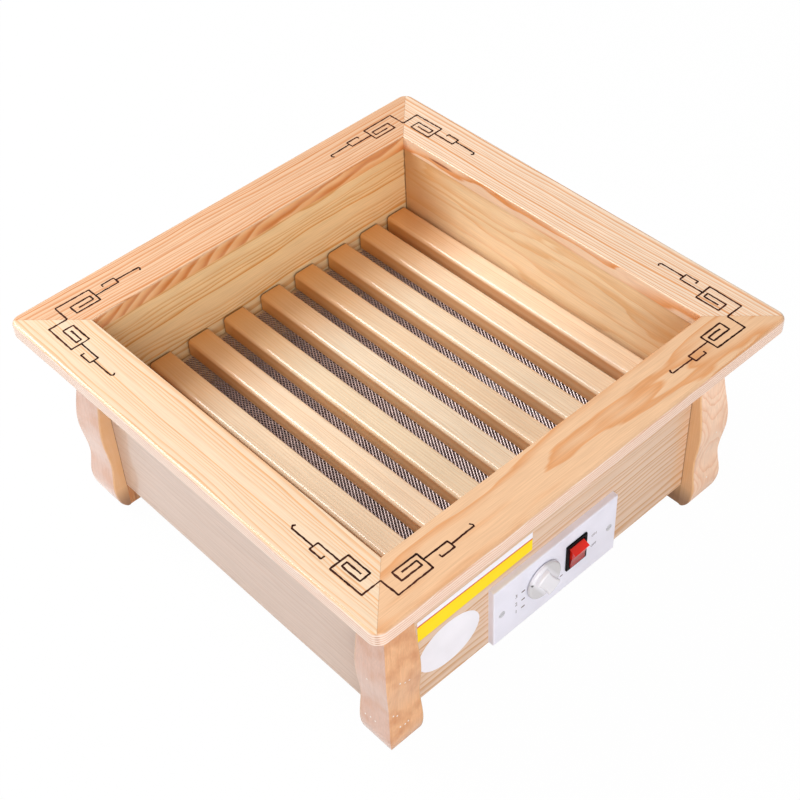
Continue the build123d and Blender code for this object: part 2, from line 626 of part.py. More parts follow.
def switch_housing():
    """The switch body with its bezel, open in front, with two pivot holes in its sides."""
    half_width = SWITCH_BODY_WIDTH / 2
    half_height = SWITCH_BODY_HEIGHT / 2
    body = box(
        SWITCH_X - half_width, SWITCH_X + half_width, plate_front, plate_front + SWITCH_DEPTH,
        switch_z - half_height, switch_z + half_height,
    )
    outline = RectangleRounded(BEZEL_WIDTH, BEZEL_HEIGHT, BEZEL_CORNER_RADIUS)
    bezel = extrude(outline, BEZEL_THICKNESS)
    bezel = fillet(bezel.faces().sort_by(Axis.Z)[-1].edges(), BEZEL_ROUND)
    body += Pos(SWITCH_X, plate_front, switch_z) * Rot(90, 0, 0) * bezel
    body -= box(
        SWITCH_X - RECESS_WIDTH / 2, SWITCH_X + RECESS_WIDTH / 2, bezel_front, bezel_front + RECESS_DEPTH,
        switch_z - RECESS_HEIGHT / 2, switch_z + RECESS_HEIGHT / 2,
    )
    hole = ROCKER_PIN_DIAMETER / 2 + ROCKER_PIN_PLAY
    return body - rod(SWITCH_X - half_width, pivot_y, switch_z, hole, SWITCH_BODY_WIDTH, "x")


def rocker_point(radius, angle):
    """A point of the rocker's section about its pivot: out of the plate, then up."""
    from_middle = Vector(radius, 0).rotate(Axis.Z, angle)
    return (from_middle.Y, from_middle.X)


def switch_rocker():
    """The rocker: a dished face between two lips, a hub and two pivot pins, upper half out."""
    lip_up = rocker_point(ROCKER_LIP_RADIUS, ROCKER_LIP_ANGLE)
    lip_down = rocker_point(ROCKER_LIP_RADIUS, -ROCKER_LIP_ANGLE)
    root_up = rocker_point(ROCKER_ROOT_RADIUS, ROCKER_ROOT_ANGLE)
    root_down = rocker_point(ROCKER_ROOT_RADIUS, -ROCKER_ROOT_ANGLE)
    dish = (0, lip_up[1] - ROCKER_DISH)
    outline = [
        ThreePointArc(lip_down, dish, lip_up),
        Line(lip_up, root_up),
        Line(root_up, (ROCKER_HUB_RADIUS, 0)),
        ThreePointArc((ROCKER_HUB_RADIUS, 0), (0, -ROCKER_HUB_RADIUS), (-ROCKER_HUB_RADIUS, 0)),
        Line((-ROCKER_HUB_RADIUS, 0), root_down),
        Line(root_down, lip_down),
    ]
    rocker = Pos(0, 0, -ROCKER_WIDTH / 2) * extrude(make_face(outline), ROCKER_WIDTH)
    pin_reach = ROCKER_WIDTH / 2 + ROCKER_PIN_LENGTH
    rocker += Pos(0, 0, -pin_reach) * extrude(Circle(ROCKER_PIN_DIAMETER / 2), 2 * pin_reach)
    section = Plane(origin=(SWITCH_X, pivot_y, switch_z), x_dir=(0, 0, 1), z_dir=(1, 0, 0))
    return section * Rot(0, 0, ROCKER_THROW) * rocker


def switch_terminal(number):
    """One blade terminal at the back of the switch."""
    z = switch_z + (number - 1) * TERMINAL_SPACING
    back = plate_front + SWITCH_DEPTH
    blade = box(
        SWITCH_X - TERMINAL_WIDTH / 2, SWITCH_X + TERMINAL_WIDTH / 2, back, back + TERMINAL_LENGTH,
        z - TERMINAL_THICKNESS / 2, z + TERMINAL_THICKNESS / 2,
    )
    low = z - TERMINAL_THICKNESS / 2
    hole = rod(SWITCH_X, back + TERMINAL_HOLE_REACH, low, TERMINAL_HOLE / 2, TERMINAL_THICKNESS)
    return blade - hole


# ---- Terminal block and screws ----------------------------------------------------------------


def terminal_block():
    """The block on the base board where the cord would be joined, one wire hole per pole."""
    y = wall_in - BLOCK_FROM_WALL
    length = BLOCK_POLES * BLOCK_PITCH
    front = y - BLOCK_WIDTH / 2
    back = y + BLOCK_WIDTH / 2
    middle = base_top + BLOCK_HEIGHT / 2
    left = cord_hole_x - length / 2
    block = box(left, left + length, front, back, base_top, base_top + BLOCK_HEIGHT)
    for pole in range(BLOCK_POLES):
        x = left + (pole + 0.5) * BLOCK_PITCH
        block -= rod(x, front, middle, BLOCK_WIRE_HOLE / 2, BLOCK_WIDTH, "y")
        block -= rod(x, y, middle, BLOCK_SCREW_HOLE / 2, BLOCK_HEIGHT / 2)
    return block


def screw(length):
    """A slotted screw along -Z with the underside of its head at z = 0."""
    head = extrude(Circle(SCREW_HEAD_DIAMETER / 2), SCREW_HEAD_HEIGHT)
    head -= Pos(0, 0, SCREW_HEAD_HEIGHT) * Box(SCREW_HEAD_DIAMETER, SCREW_SLOT, SCREW_HEAD_HEIGHT)
    return head + Pos(0, 0, -length) * extrude(Circle(SCREW_DIAMETER / 2), length)


def export(piece, name):
    export_step(piece, f"parts/{name}.step")


os.makedirs("parts", exist_ok=True)

# Top frame
frame = top_frame()
for name, turn in (("front", 0), ("right", 90), ("back", 180), ("left", 270)):
    export(frame & mitre_wedge(turn), f"top_board_{name}")

# Walls
export(front_wall(), "wall_front")
export(back_wall(), "wall_back")
for side in (-1, 1):
    low, high = sorted((side * wall_in, side * wall_out))
    export(box(low, high, -wall_in, wall_in, WALL_BOTTOM, frame_underside), f"wall_{side_word[side]}")

# Legs: the side board is the front board mirrored in the mitre
facing_front = leg_board()
facing_side = mirror(facing_front, Plane(origin=(0, 0, 0), z_dir=(1, -1, 0)))
for x, y in corners:
    leg = f"leg_{end_word[y]}_{side_word[x]}"
    export(to_corner(facing_front, x, y), f"{leg}_{end_word[y]}_board")
    export(to_corner(facing_side, x, y), f"{leg}_{side_word[x]}_board")
    export(corner_post(x, y), f"corner_post_{end_word[y]}_{side_word[x]}")
export(Compound([leg_block(x, y) for x, y in corners]), "leg_blocks")

# Grate
for number in range(SLAT_COUNT):
    export(slat(slat_x(number)), f"slat_{number + 1}")
for end in (-1, 1):
    export(grate_batten(end), f"grate_batten_{end_word[end]}")
    export(grate_rail(end), f"grate_rail_{end_word[end]}")
export(guard_mesh(), "guard_mesh")

# Floor and heater
export(base_board(), "base_board")
export(reflector_tray(), "reflector_tray")
export(Compound([tray_standoff(x, y) for x, y in corners]), "tray_standoffs")
for side in (-1, 1):
    export(tube_bracket(side), f"tube_bracket_{side_word[side]}")
for end in (-1, 1):
    export(heating_tube(end * tube_y), f"heating_tube_{end_word[end]}")
    export(heating_coil(end * tube_y), f"heating_coil_{end_word[end]}")
export(Compound([tube_cap(x, y * tube_y) for x, y in corners]), "tube_caps")
export(thermal_cutout(), "thermal_cutout")
export(heat_shield(), "heat_shield")

# Controls
export(control_plate(), "control_plate")
export(regulator(), "regulator")
export(bush_nut(), "bush_nut")
export(dial_shaft(), "dial_shaft")
export(dial_knob(), "dial_knob")
export(switch_housing(), "switch_housing")
export(switch_rocker(), "switch_rocker")
export(Compound([switch_terminal(number) for number in range(3)]), "switch_terminals")
export(terminal_block(), "terminal_block")

# Screws
plate_screws = [
    Pos(x, plate_front + PLATE_WELL_DEPTH, plate_middle) * Rot(90, 0, 0) * screw(SCREW_LENGTH)
    for x in plate_screws_x
]
post_screws = [
    Pos(x * post_centre, y * post_centre, base_bottom + SCREW_HEAD_HEIGHT)
    * Rot(180, 0, 0)
    * screw(SCREW_LENGTH)
    for x, y in corners
]
tray_screws = [
    Pos(x * standoff_x, y * standoff_y, tray_floor + SHEET) * screw(STANDOFF_HEIGHT + SHEET + BASE_THICKNESS)
    for x, y in corners
]
bracket_screws = [
    Pos(x * (bracket_x - BRACKET_FOOT / 2), y * BRACKET_HOLE_SPACING, tray_floor + SHEET + BRACKET_SHEET)
    * screw(SHORT_SCREW_LENGTH)
    for x, y in corners
]
export(Compound(plate_screws), "plate_screws")
export(Compound(post_screws), "post_screws")
export(Compound(tray_screws), "tray_screws")
export(Compound(bracket_screws), "bracket_screws")
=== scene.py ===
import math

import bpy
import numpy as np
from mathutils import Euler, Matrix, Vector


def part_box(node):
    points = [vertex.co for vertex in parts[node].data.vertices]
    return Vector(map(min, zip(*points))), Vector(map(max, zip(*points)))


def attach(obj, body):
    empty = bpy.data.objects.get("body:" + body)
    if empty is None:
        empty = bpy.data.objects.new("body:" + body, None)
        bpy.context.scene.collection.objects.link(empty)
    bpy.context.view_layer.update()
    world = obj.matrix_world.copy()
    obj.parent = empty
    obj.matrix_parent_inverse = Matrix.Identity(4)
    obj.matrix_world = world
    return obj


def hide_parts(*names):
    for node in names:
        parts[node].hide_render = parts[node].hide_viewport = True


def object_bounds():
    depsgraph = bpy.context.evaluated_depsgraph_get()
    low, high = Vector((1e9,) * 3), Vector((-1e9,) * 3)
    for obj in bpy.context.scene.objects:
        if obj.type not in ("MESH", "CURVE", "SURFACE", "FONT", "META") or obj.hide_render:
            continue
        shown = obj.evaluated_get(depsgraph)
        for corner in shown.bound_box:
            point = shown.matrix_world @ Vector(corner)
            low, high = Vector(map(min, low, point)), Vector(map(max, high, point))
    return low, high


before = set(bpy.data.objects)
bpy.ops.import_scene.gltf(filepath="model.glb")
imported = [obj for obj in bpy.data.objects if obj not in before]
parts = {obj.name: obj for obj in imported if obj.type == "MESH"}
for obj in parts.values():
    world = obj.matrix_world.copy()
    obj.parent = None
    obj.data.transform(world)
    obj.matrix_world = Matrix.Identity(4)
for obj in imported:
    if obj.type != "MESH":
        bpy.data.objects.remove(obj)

# %% [markdown]
# # A wooden foot warmer, dressed for the camera
#
# The real object is a square pine box on four swelling legs. Your feet rest on a slatted grate
# 80 mm below a wide mitred frame, and two heating tubes glow in a tray under it. A white plate
# on the front wall carries a dial and a rocker switch.
#
# The frame brings in the measured solids. This lesson gives each its finish and adds what is
# too fine for a solid: the expanded mesh, the burned ornament, the heating coils, the marks of
# the plate. Everything is in metres, with the ground at z = 0 and the controls facing -Y.

cad_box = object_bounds()
frame_top = cad_box[1][2]
mm = 0.001


def middle(name):
    """The middle of a part's box, in metres."""
    return [(a + b) / 2 for a, b in zip(*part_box(name))]


def put_in_scene(name, data):
    """Make an object from its data and link it to the scene."""
    made = bpy.data.objects.new(name, data)
    bpy.context.scene.collection.objects.link(made)
    return made


print("parts:", len(parts), "box:", cad_box)

# %% [markdown]
# ## The camera
#
# A photograph is a set of straight rays through one point. The four top corners of a square
# frame fix that point, the way the camera looks and its focal length. The answer is written as
# a place, a bearing, a tilt and a small roll, and turned into the three axes of the camera.

# %% Camera
camera_place = Vector((-0.61225, -0.70898, 1.0679))
bearing, tilt, roll = -0.714, 0.793, -0.054
away = Vector((
    math.sin(bearing) * math.cos(tilt), -math.cos(bearing) * math.cos(tilt), math.sin(tilt)))
level = Vector((math.cos(bearing), math.sin(bearing), 0))
upward = away.cross(level)
right = math.cos(roll) * level + math.sin(roll) * upward
above = -math.sin(roll) * level + math.cos(roll) * upward

camera_data = bpy.data.cameras.new("camera")
camera_data.sensor_width = 36
camera_data.lens = 70.27
camera = put_in_scene("camera", camera_data)
camera_axes = Matrix((right, above, away)).transposed().to_4x4()
camera.matrix_world = Matrix.Translation(camera_place) @ camera_axes
bpy.context.scene.camera = camera
bpy.context.scene.view_settings.view_transform = "Standard"
print("camera at", tuple(round(v, 3) for v in camera_place))

# %% [markdown]
# ## Building node trees in short lines
#
# A material is a small flow chart. `node` adds one box to it and feeds its inputs with numbers
# or with other boxes, so a whole chart can be written as nested calls.

# %% Node helpers
def feed(tree, socket, value):
    """Link a socket to another node's output, or give it a plain value."""
    if isinstance(value, bpy.types.NodeSocket):
        tree.links.new(value, socket)
    else:
        socket.default_value = value


def node(tree, kind, settings=(), **inputs):
    """Add one shader node, feed its inputs, and return its first output. An input goes by its
    label, with _ for a space, or by its number: i0, i1, i2."""
    made = tree.nodes.new("ShaderNode" + kind)
    for key, value in dict(settings).items():
        setattr(made, key, value)
    for key, value in inputs.items():
        numbered = key[0] == "i" and key[1:].isdigit()
        feed(tree, made.inputs[int(key[1:]) if numbered else key.replace("_", " ")], value)
    return made.outputs[0]


print("node helpers ready")

# %% [markdown]
# Most boxes do one step: a sum, a product, a length, soft noise, or a fade between two limits.
# Each of these steps gets a short name.

# %% Steps on numbers
def calc(tree, operation, first, second=0.0, third=0.0):
    """One arithmetic step on numbers."""
    return node(tree, "Math", {"operation": operation}, i0=first, i1=second, i2=third)


def vector(tree, operation, first, second):
    """One arithmetic step on two vectors."""
    return node(tree, "VectorMath", {"operation": operation}, i0=first, i1=second)


def times(tree, first, *others):
    """The product of several numbers."""
    for other in others:
        first = calc(tree, "MULTIPLY", first, other)
    return first


def length_of(tree, arrow):
    """How long a vector is."""
    made = tree.nodes.new("ShaderNodeVectorMath")
    made.operation = "LENGTH"
    feed(tree, made.inputs[0], arrow)
    return made.outputs["Value"]


def noise(tree, place, scale, detail=2.0, **more):
    """Soft random spots about 1 / scale wide, with values from 0 to 1."""
    return node(tree, "TexNoise", Vector=place, Scale=scale, Detail=detail, **more)


def fade(tree, value, start, end, last=1.0):
    """Go from 0 to `last` while the value goes from `start` to `end`, and stop there."""
    return node(tree, "MapRange", {"clamp": True}, Value=value,
                From_Min=start, From_Max=end, To_Max=last)


print("steps ready")

# %% [markdown]
# For colours, `blend` lays one over the other by an amount, `stain` does so by how far a value
# has gone between two limits, and `ramp` reads a number through a curve of colours or greys,
# such as the two `shades` beside one colour.

# %% Colour helpers
def blend(tree, amount, first, second, how="MIX"):
    """Mix two colours by an amount from 0 to 1."""
    made = tree.nodes.new("ShaderNodeMix")
    made.data_type = "RGBA"
    made.blend_type = how
    feed(tree, made.inputs[0], amount)
    for socket, colour in ((made.inputs[6], first), (made.inputs[7], second)):
        feed(tree, socket, (*colour, 1) if isinstance(colour, tuple) else colour)
    return made.outputs[2]


def stain(tree, colour, other, most, value, start, end):
    """Lay another colour over this one: none where the value is at `start`, `most` at `end`."""
    return blend(tree, fade(tree, value, start, end, most), colour, other)


def shades(colour, share, low, high):
    """Stops for a curve: a darker shade of the colour at `low` and a lighter one at `high`."""
    return [(low, tuple(c * (1 - share) for c in colour)),
            (high, tuple(min(1, c * (1 + share)) for c in colour))]


def ramp(tree, amount, stops):
    """Read a number through a curve given as (position, grey or colour) stops."""
    made = tree.nodes.new("ShaderNodeValToRGB")
    feed(tree, made.inputs[0], amount)
    while len(made.color_ramp.elements) < len(stops):
        made.color_ramp.elements.new(0.5)
    for element, (position, value) in zip(made.color_ramp.elements, stops):
        element.position = position
        element.color = (*value, 1) if isinstance(value, tuple) else (value, value, value, 1)
    return made.outputs[0]


print("colour helpers ready")

# %% [markdown]
# Every pattern is read from the point of the surface in the part's own coordinates, so it stays
# on the part when that moves. `new_finish` opens a material around one Principled shader and
# sets its plain numbers, `cover` gives it a colour and a relief, and `dress` puts it on a part.

# %% Material helpers
def object_place(tree):
    """The point of the surface in the part's own coordinates, in metres."""
    return tree.nodes.new("ShaderNodeTexCoord").outputs["Object"]


def axes(tree, place):
    """The three parts of a point as separate values."""
    split = tree.nodes.new("ShaderNodeSeparateXYZ")
    feed(tree, split.inputs[0], place)
    return [split.outputs[letter] for letter in "XYZ"]


def new_finish(name, **plain):
    """A material with one Principled BSDF: plain numbers go on its own sockets."""
    material = bpy.data.materials.new(name)
    material.use_nodes = True
    shader = material.node_tree.nodes["Principled BSDF"]
    for key, value in plain.items():
        shader.inputs[key.replace("_", " ")].default_value = value
    return material, material.node_tree, shader


def cover(tree, shader, colour, height, strength, distance):
    """Paint the shader, and raise a slight relief from a pattern."""
    feed(tree, shader.inputs["Base Color"], colour)
    relief = node(tree, "Bump", Strength=strength, Distance=distance, Height=height)
    feed(tree, shader.inputs["Normal"], relief)


def dress(name, material):
    """Give a part of the frame this material."""
    part = parts[name]
    if not part.material_slots:
        part.data.materials.append(material)
    for held in part.material_slots:
        held.material = material


print("material helpers ready")

# %% [markdown]
# ## Pine
#
# A board is a slice through a tree. The tree's heart is a line, every growth ring is a cylinder
# round it, and the board shows where its faces cut the cylinders: straight lines when the heart
# is far off to the side, broad flames when it lies just under the face and leans a little. So
# one recipe, fed with where the heart was, gives every board its own true figure, on its faces
# and on its end grain alike.
#
# The recipe works in millimetres. A Mapping node turns the board until its grain runs along
# X and puts the heart at the origin. The distance from the heart, disturbed by slow noise, is
# cut into rings, and each ring darkens slowly to its late wood and ends sharply. Drawn-out
# noise adds the fibres, and both raise a slight relief under the varnish.

# %% Rings and fibres
GRAIN_TURN = {
    "X": Matrix.Identity(3),
    "Y": Matrix.Rotation(math.radians(-90), 3, "Z"),
    "Z": Matrix.Rotation(math.radians(90), 3, "Y"),
}
RING_PROFILE = [(0.0, 0.0), (0.45, 0.06), (0.8, 0.75), (0.92, 1.0), (1.0, 0.0)]
PER_METRE = (1000, 1000, 1000)  # the recipe's millimetres
LONG, VERY_LONG = 0.16, 0.03  # drawn out 6 and 33 times along the grain


def grain_noise(tree, local, squeeze, scale, detail):
    """Noise whose spots are drawn out along the grain."""
    spot = vector(tree, "MULTIPLY", local, (squeeze, 1, 1))
    return noise(tree, spot, scale, detail)


def rings(tree, local, spacing, wave, depth):
    """Ring number = (distance from the heart + slow noise) / spacing, uneven from year to
    year; the result is how much late wood shows, from 0 to about `depth`."""
    radius = length_of(tree, vector(tree, "MULTIPLY", local, (0, 1, 1)))
    drift = grain_noise(tree, local, LONG, 0.035, 2.0)
    radius = calc(tree, "MULTIPLY_ADD", drift, wave * 6, radius)
    small = grain_noise(tree, local, LONG, 0.16, 1.0)
    radius = calc(tree, "MULTIPLY_ADD", small, wave * 0.8, radius)
    year = node(tree, "TexNoise", {"noise_dimensions": "1D"}, W=radius,
                Scale=0.35 / spacing, Detail=1.0)
    number = calc(tree, "MULTIPLY_ADD", year, 2.2, calc(tree, "DIVIDE", radius, spacing))
    ring = ramp(tree, calc(tree, "FRACT", number), RING_PROFILE)
    strength = calc(tree, "MULTIPLY_ADD", year, 1.1, 0.4)
    return times(tree, strength, depth, ring)


print("grain along", *GRAIN_TURN)

# %% [markdown]
# `pine` lays the rings and the fibres over slow warm clouds. What only some boards show, such
# as a brown edge, comes last, through `marks`.

# %% Pine recipe
def pine(name, grain, heart, light, dark, spacing=3.5, lean=(0.0, 0.0), wave=2.0, depth=0.75,
         cloud=0.25, coat=0.6, gloss=0.1, marks=None):
    """Varnished pine: light early wood, dark late wood, warm clouds and fine fibres. Lengths
    are in mm, the lean is in degrees, and `marks` may paint more over the wood."""
    material, tree, shader = new_finish(
        name, Roughness=0.4, Coat_Weight=coat, Coat_Roughness=gloss, Specular_IOR_Level=0.4)
    lean_turn = Euler((0, math.radians(lean[0]), math.radians(lean[1]))).to_matrix()
    turn = lean_turn @ GRAIN_TURN[grain]
    place = object_place(tree)
    local = node(tree, "Mapping", Vector=place, Scale=PER_METRE, Rotation=turn.to_euler(),
                 Location=tuple(-(turn @ Vector(heart))))
    ring = rings(tree, local, spacing, wave, depth)
    fibre = grain_noise(tree, local, VERY_LONG, 1.1, 2.0)
    patch = grain_noise(tree, local, LONG, 0.022, 1.0)
    warm = tuple(0.72 * a + 0.28 * b for a, b in zip(light, dark))
    pale = blend(tree, times(tree, patch, cloud * 2), light, warm)
    colour = blend(tree, ring, pale, dark)
    tone = ramp(tree, fibre, [(0.3, 0.90), (0.7, 1.05)])
    colour = blend(tree, 1.0, colour, tone, "MULTIPLY")
    if marks:
        colour = marks(tree, place, colour)
    cover(tree, shader, colour, calc(tree, "MULTIPLY_ADD", ring, 0.5, fibre), 0.1, 0.1 * mm)
    return material


print("pine recipe ready")

# %% [markdown]
# ## Marks of a joined frame
#
# The narrow edges of the frame's boards cut the rings another way than their tops do. Outside,
# the edge shows fine level lines, and dark end grain like a comb beside each mitre. Inside, it
# shows orange flames. A hair line of glue and dust follows each mitre, and one board has a
# dark knot. All of them are painted over the wood by where the point is, with no picture.

# %% Edge marks
LEVEL_STEP = 0.0024  # between the lines of the outer edges
FLAME_STEP = 0.03  # between the flames of the inner edges
HAIR_LINE = (0.12, 0.045, 0.015)
LEVEL_LINES = [
    (0.0, (0.94, 0.82, 0.75)), (0.4, (0.88, 0.69, 0.59)), (0.6, (0.76, 0.46, 0.34)),
    (0.9, (0.72, 0.42, 0.30)), (1.0, (0.94, 0.82, 0.75)),
]
FLAMES = [
    (0.0, (0.92, 0.58, 0.30)), (0.35, (0.88, 0.46, 0.19)), (0.75, (0.62, 0.19, 0.04)),
    (0.9, (0.70, 0.26, 0.06)), (1.0, (0.92, 0.58, 0.30)),
]


def dark_line(tree, distance, colour, half_width, strength):
    """Darken the colour where the distance is nearly nothing."""
    beside = calc(tree, "ABSOLUTE", distance)
    return stain(tree, colour, HAIR_LINE, strength, beside, half_width, half_width * 0.4)


def outer_edge(tree, z, gap, waver, outside, colour):
    """Level lines along the edge, and a comb of end grain beside the mitre."""
    level = calc(tree, "MULTIPLY_ADD", waver, 3.0, calc(tree, "DIVIDE", z, LEVEL_STEP))
    level = calc(tree, "FRACT", level)
    lines = ramp(tree, level, LEVEL_LINES)
    colour = blend(tree, times(tree, outside, 0.75), colour, lines)
    corner = fade(tree, calc(tree, "ABSOLUTE", gap), 0.0032, 0.0016)
    comb = times(tree, calc(tree, "GREATER_THAN", level, 0.5), corner, outside, 0.65)
    return blend(tree, comb, colour, (0.40, 0.17, 0.08))


def inner_edge(tree, x, y, z, waver, amount, colour):
    """Flames that lean across the edge, shorter on the left half of the frame."""
    slope = calc(tree, "MULTIPLY_ADD", z, -2.2, times(tree, calc(tree, "ADD", x, y), 0.4))
    slope = calc(tree, "ADD", slope, calc(tree, "MINIMUM", x, 0.0))
    slope = calc(tree, "DIVIDE", slope, FLAME_STEP)
    slope = calc(tree, "MULTIPLY_ADD", waver, 1.6, slope)
    flame = ramp(tree, calc(tree, "FRACT", slope), FLAMES)
    return blend(tree, amount, colour, flame)


print("level lines every", LEVEL_STEP)

# %% [markdown]
# Where a point lies decides on its marks: how far it is from the mitre, whether it is below the
# top, and on which side of the middle of its board.

# %% Frame marks
BOARD_MIDDLE = 0.2  # half-way across a top board, from the middle of the frame
EDGE_STARTS, EDGE_FULL = 0.2112, 0.2102  # the edges' marks begin just under the top
KNOT_PLACE, KNOT_SQUEEZE = (0.175, 0.126, 0.2052), (300, 62, 700)


def frame_marks(flames):
    """Mitre line, level lines of the outer edges, flames of the inner ones and one knot."""
    def marks(tree, place, colour):
        x, y, z = axes(tree, place)
        beside, before = calc(tree, "ABSOLUTE", x), calc(tree, "ABSOLUTE", y)
        gap = calc(tree, "SUBTRACT", beside, before)
        reach = calc(tree, "MAXIMUM", beside, before)
        waver = noise(tree, place, 22.0, 1.0)
        colour = dark_line(tree, gap, colour, 0.0005, 0.28)
        below = fade(tree, z, EDGE_STARTS, EDGE_FULL)
        outside = times(tree, below, calc(tree, "GREATER_THAN", reach, BOARD_MIDDLE))
        colour = outer_edge(tree, z, gap, waver, outside, colour)
        inside = times(tree, below, calc(tree, "LESS_THAN", reach, BOARD_MIDDLE), flames)
        colour = inner_edge(tree, x, y, z, waver, inside, colour)
        knot = vector(tree, "SUBTRACT", place, KNOT_PLACE)
        knot = length_of(tree, vector(tree, "MULTIPLY", knot, KNOT_SQUEEZE))
        return stain(tree, colour, (0.26, 0.05, 0.015), 0.85, knot, 1.1, 0.6)
    return marks


print("knot at", KNOT_PLACE)

# %% [markdown]
# The walls have marks of their own. Outside, a dark joint shows where each leg board ends.
# Inside, the corner is a ragged thin gap, and towards it the wood is painted brown as shade,
# strongest on the right wall, on which the back wall casts its shadow.

# %% Wall marks
OUTER_SKIN = 0.184  # points further out than this lie on the outer face of a wall
LEG_JOINT = 0.1626  # where a leg board ends, from the middle of the wall
INNER_CORNER = 0.1765
# Between these distances from the middle the walls are painted brown as shade.
CORNER_SHADE_STARTS, CORNER_SHADE_FULL = 0.105, 0.172


def wall_marks(grain, corner_shade):
    """The open joints of a wall, and painted shade towards its ends, where the walls meet."""
    def marks(tree, place, colour):
        x, y, _ = axes(tree, place)
        along, through = (x, y) if grain == "X" else (y, x)
        along = calc(tree, "ABSOLUTE", along)
        inward = calc(tree, "SUBTRACT", OUTER_SKIN, calc(tree, "ABSOLUTE", through))
        leg = calc(tree, "ABSOLUTE", calc(tree, "SUBTRACT", along, LEG_JOINT))
        leg = calc(tree, "ADD", leg, calc(tree, "MAXIMUM", inward, 0.0))
        colour = dark_line(tree, leg, colour, 0.0009, 0.85)
        # Painted shade towards the corners.
        colour = stain(tree, colour, (0.60, 0.25, 0.05), corner_shade, along, CORNER_SHADE_STARTS, CORNER_SHADE_FULL)
        ragged = calc(tree, "MULTIPLY_ADD", noise(tree, place, 160.0), 0.0014, along)
        ragged = calc(tree, "SUBTRACT", ragged, INNER_CORNER)
        return dark_line(tree, ragged, colour, 0.0009, 0.65)
    return marks


print("leg joints at", LEG_JOINT)

# %% [markdown]
# Each row of the eight wide boards gives the way of the grain, the place of the tree's heart,
# the light and the dark colour, the distance of the rings, their lean, their waves, how dark
# the late wood is, and the strength of the marks. The hearts lie far off to the side, but that
# of the front board is 64 mm under its face, so it alone shows broad flames on top.

# %% Boards
boards = [
    ("top_board_left", "Y", (-335, 0, 190), (0.92, 0.70, 0.49), (0.84, 0.42, 0.17),
     3.6, (0, 0.5), 1.6, 0.8, 0.12),
    ("top_board_front", "X", (0, -206, 148), (0.88, 0.56, 0.33), (0.74, 0.29, 0.08),
     6.0, (1.1, 0.4), 3.4, 0.7, 0.12),
    ("top_board_right", "Y", (345, 0, 230), (0.97, 0.76, 0.57), (0.80, 0.34, 0.12),
     2.9, (0, -0.6), 1.4, 1.0, 0.12),
    ("top_board_back", "X", (0, 330, 160), (0.86, 0.55, 0.34), (0.68, 0.25, 0.075),
     3.0, (0.4, 0.5), 2.0, 1.0, 0.75),
    ("wall_back", "X", (0, 290, 330), (0.92, 0.68, 0.38), (0.70, 0.30, 0.06),
     5.4, (0.9, 0.4), 3.2, 0.85, 0.2),
    ("wall_right", "Y", (250, 0, 210), (0.93, 0.71, 0.45), (0.74, 0.35, 0.09),
     8.0, (1.0, 0.5), 5.0, 0.5, 0.75),
    ("wall_front", "X", (0, -380, -60), (0.80, 0.59, 0.44), (0.60, 0.27, 0.08),
     3.6, (0.5, 0.2), 1.6, 0.85, 0.1),
    # The left wall's greyish pink is the sheen of its left-facing outside, painted into the
    # wood.
    ("wall_left", "Y", (-300, 0, 240), (0.68, 0.52, 0.43), (0.56, 0.35, 0.24),
     4.5, (0.6, 0.4), 3.0, 0.4, 0.1),
]
for name, grain, *wood, strength in boards:
    marks = frame_marks(strength) if "top_board" in name else wall_marks(grain, strength)
    dress(name, pine(name, grain, *wood, marks=marks))
print("boards:", len(boards))

# %% [markdown]
# ## Legs
#
# Each leg is two boards mitred together. Their grain runs up the leg, so the swelling face cuts
# slowly through the rings and the figure widens over the knee. The varnish lies unevenly, in
# soft cloudy patches of orange, and small pale dots of putty fill the holes of the nails. The
# narrow edge beside the wall is sawn and brown, and near the foot it is darkened with painted
# shade.

# %% Leg marks
EDGE_BEGINS, EDGE_BROWN = 0.1650, 0.1635  # the sawn edge of a leg board, from the middle
# Painted shade darkens the sawn edge near the foot between these heights.
FOOT_SHADE_BEGINS, FOOT_SHADE_FULL = 0.026, 0.008  # heights between which the foot darkens
DOT_EDGE, DOT_FULL = 0.0010, 0.0005  # radius of a putty dot


def free_edge(tree, place, colour, across):
    """Brown sawn edge beside the wall, painted shade near the foot; `across` is 0 for x, 1 for
    y.
    """
    spot = axes(tree, place)
    edge = fade(tree, calc(tree, "ABSOLUTE", spot[across]), EDGE_BEGINS, EDGE_BROWN, 0.7)
    colour = blend(tree, edge, colour, (0.74, 0.41, 0.16))
    # Painted shade: the edge turns almost black near the foot.
    foot = times(tree, fade(tree, spot[2], FOOT_SHADE_BEGINS, FOOT_SHADE_FULL, 0.85), edge)
    return blend(tree, foot, colour, (0.12, 0.035, 0.025))


def leg_marks(flat, dots, patchy):
    """Cloudy varnish, a brown edge, and a pale dot at each (across, height) in mm from the
    middle and from the top of the frame. `flat` keeps the two axes that the face lies along."""
    def marks(tree, place, colour):
        patches = noise(tree, place, 62.0, 3.0)
        colour = stain(tree, colour, (0.56, 0.21, 0.065), patchy, patches, 0.42, 0.68)
        face = vector(tree, "MULTIPLY", place, flat)
        nearest = 1.0
        for across, height in dots:
            hole = (flat[0] * across * mm, flat[1] * across * mm, frame_top + height * mm)
            away = length_of(tree, vector(tree, "SUBTRACT", face, hole))
            nearest = calc(tree, "MINIMUM", nearest, away)
        colour = free_edge(tree, place, colour, 0 if flat[0] else 1)
        if dots:
            colour = stain(tree, colour, (0.92, 0.90, 0.86), 0.9, nearest, DOT_EDGE, DOT_FULL)
        return colour
    return marks


nails = {
    "leg_front_left_front_board": [
        (-185.2, -119.8), (-180.2, -123.6), (-175.9, -124.7), (-187.1, -176.9),
        (-182.2, -177.9), (-178.8, -177.2), (-191.7, -159.6), (-188.1, -162.5)],
    "leg_front_left_left_board": [
        (-170.0, -177.1), (-175.9, -175.6), (-181.3, -175.7), (-176.8, -122.7)],
    "leg_front_right_front_board": [(181.5, -180.7), (186.2, -126.6)],
}
print("putty dots:", sum(len(dots) for dots in nails.values()))
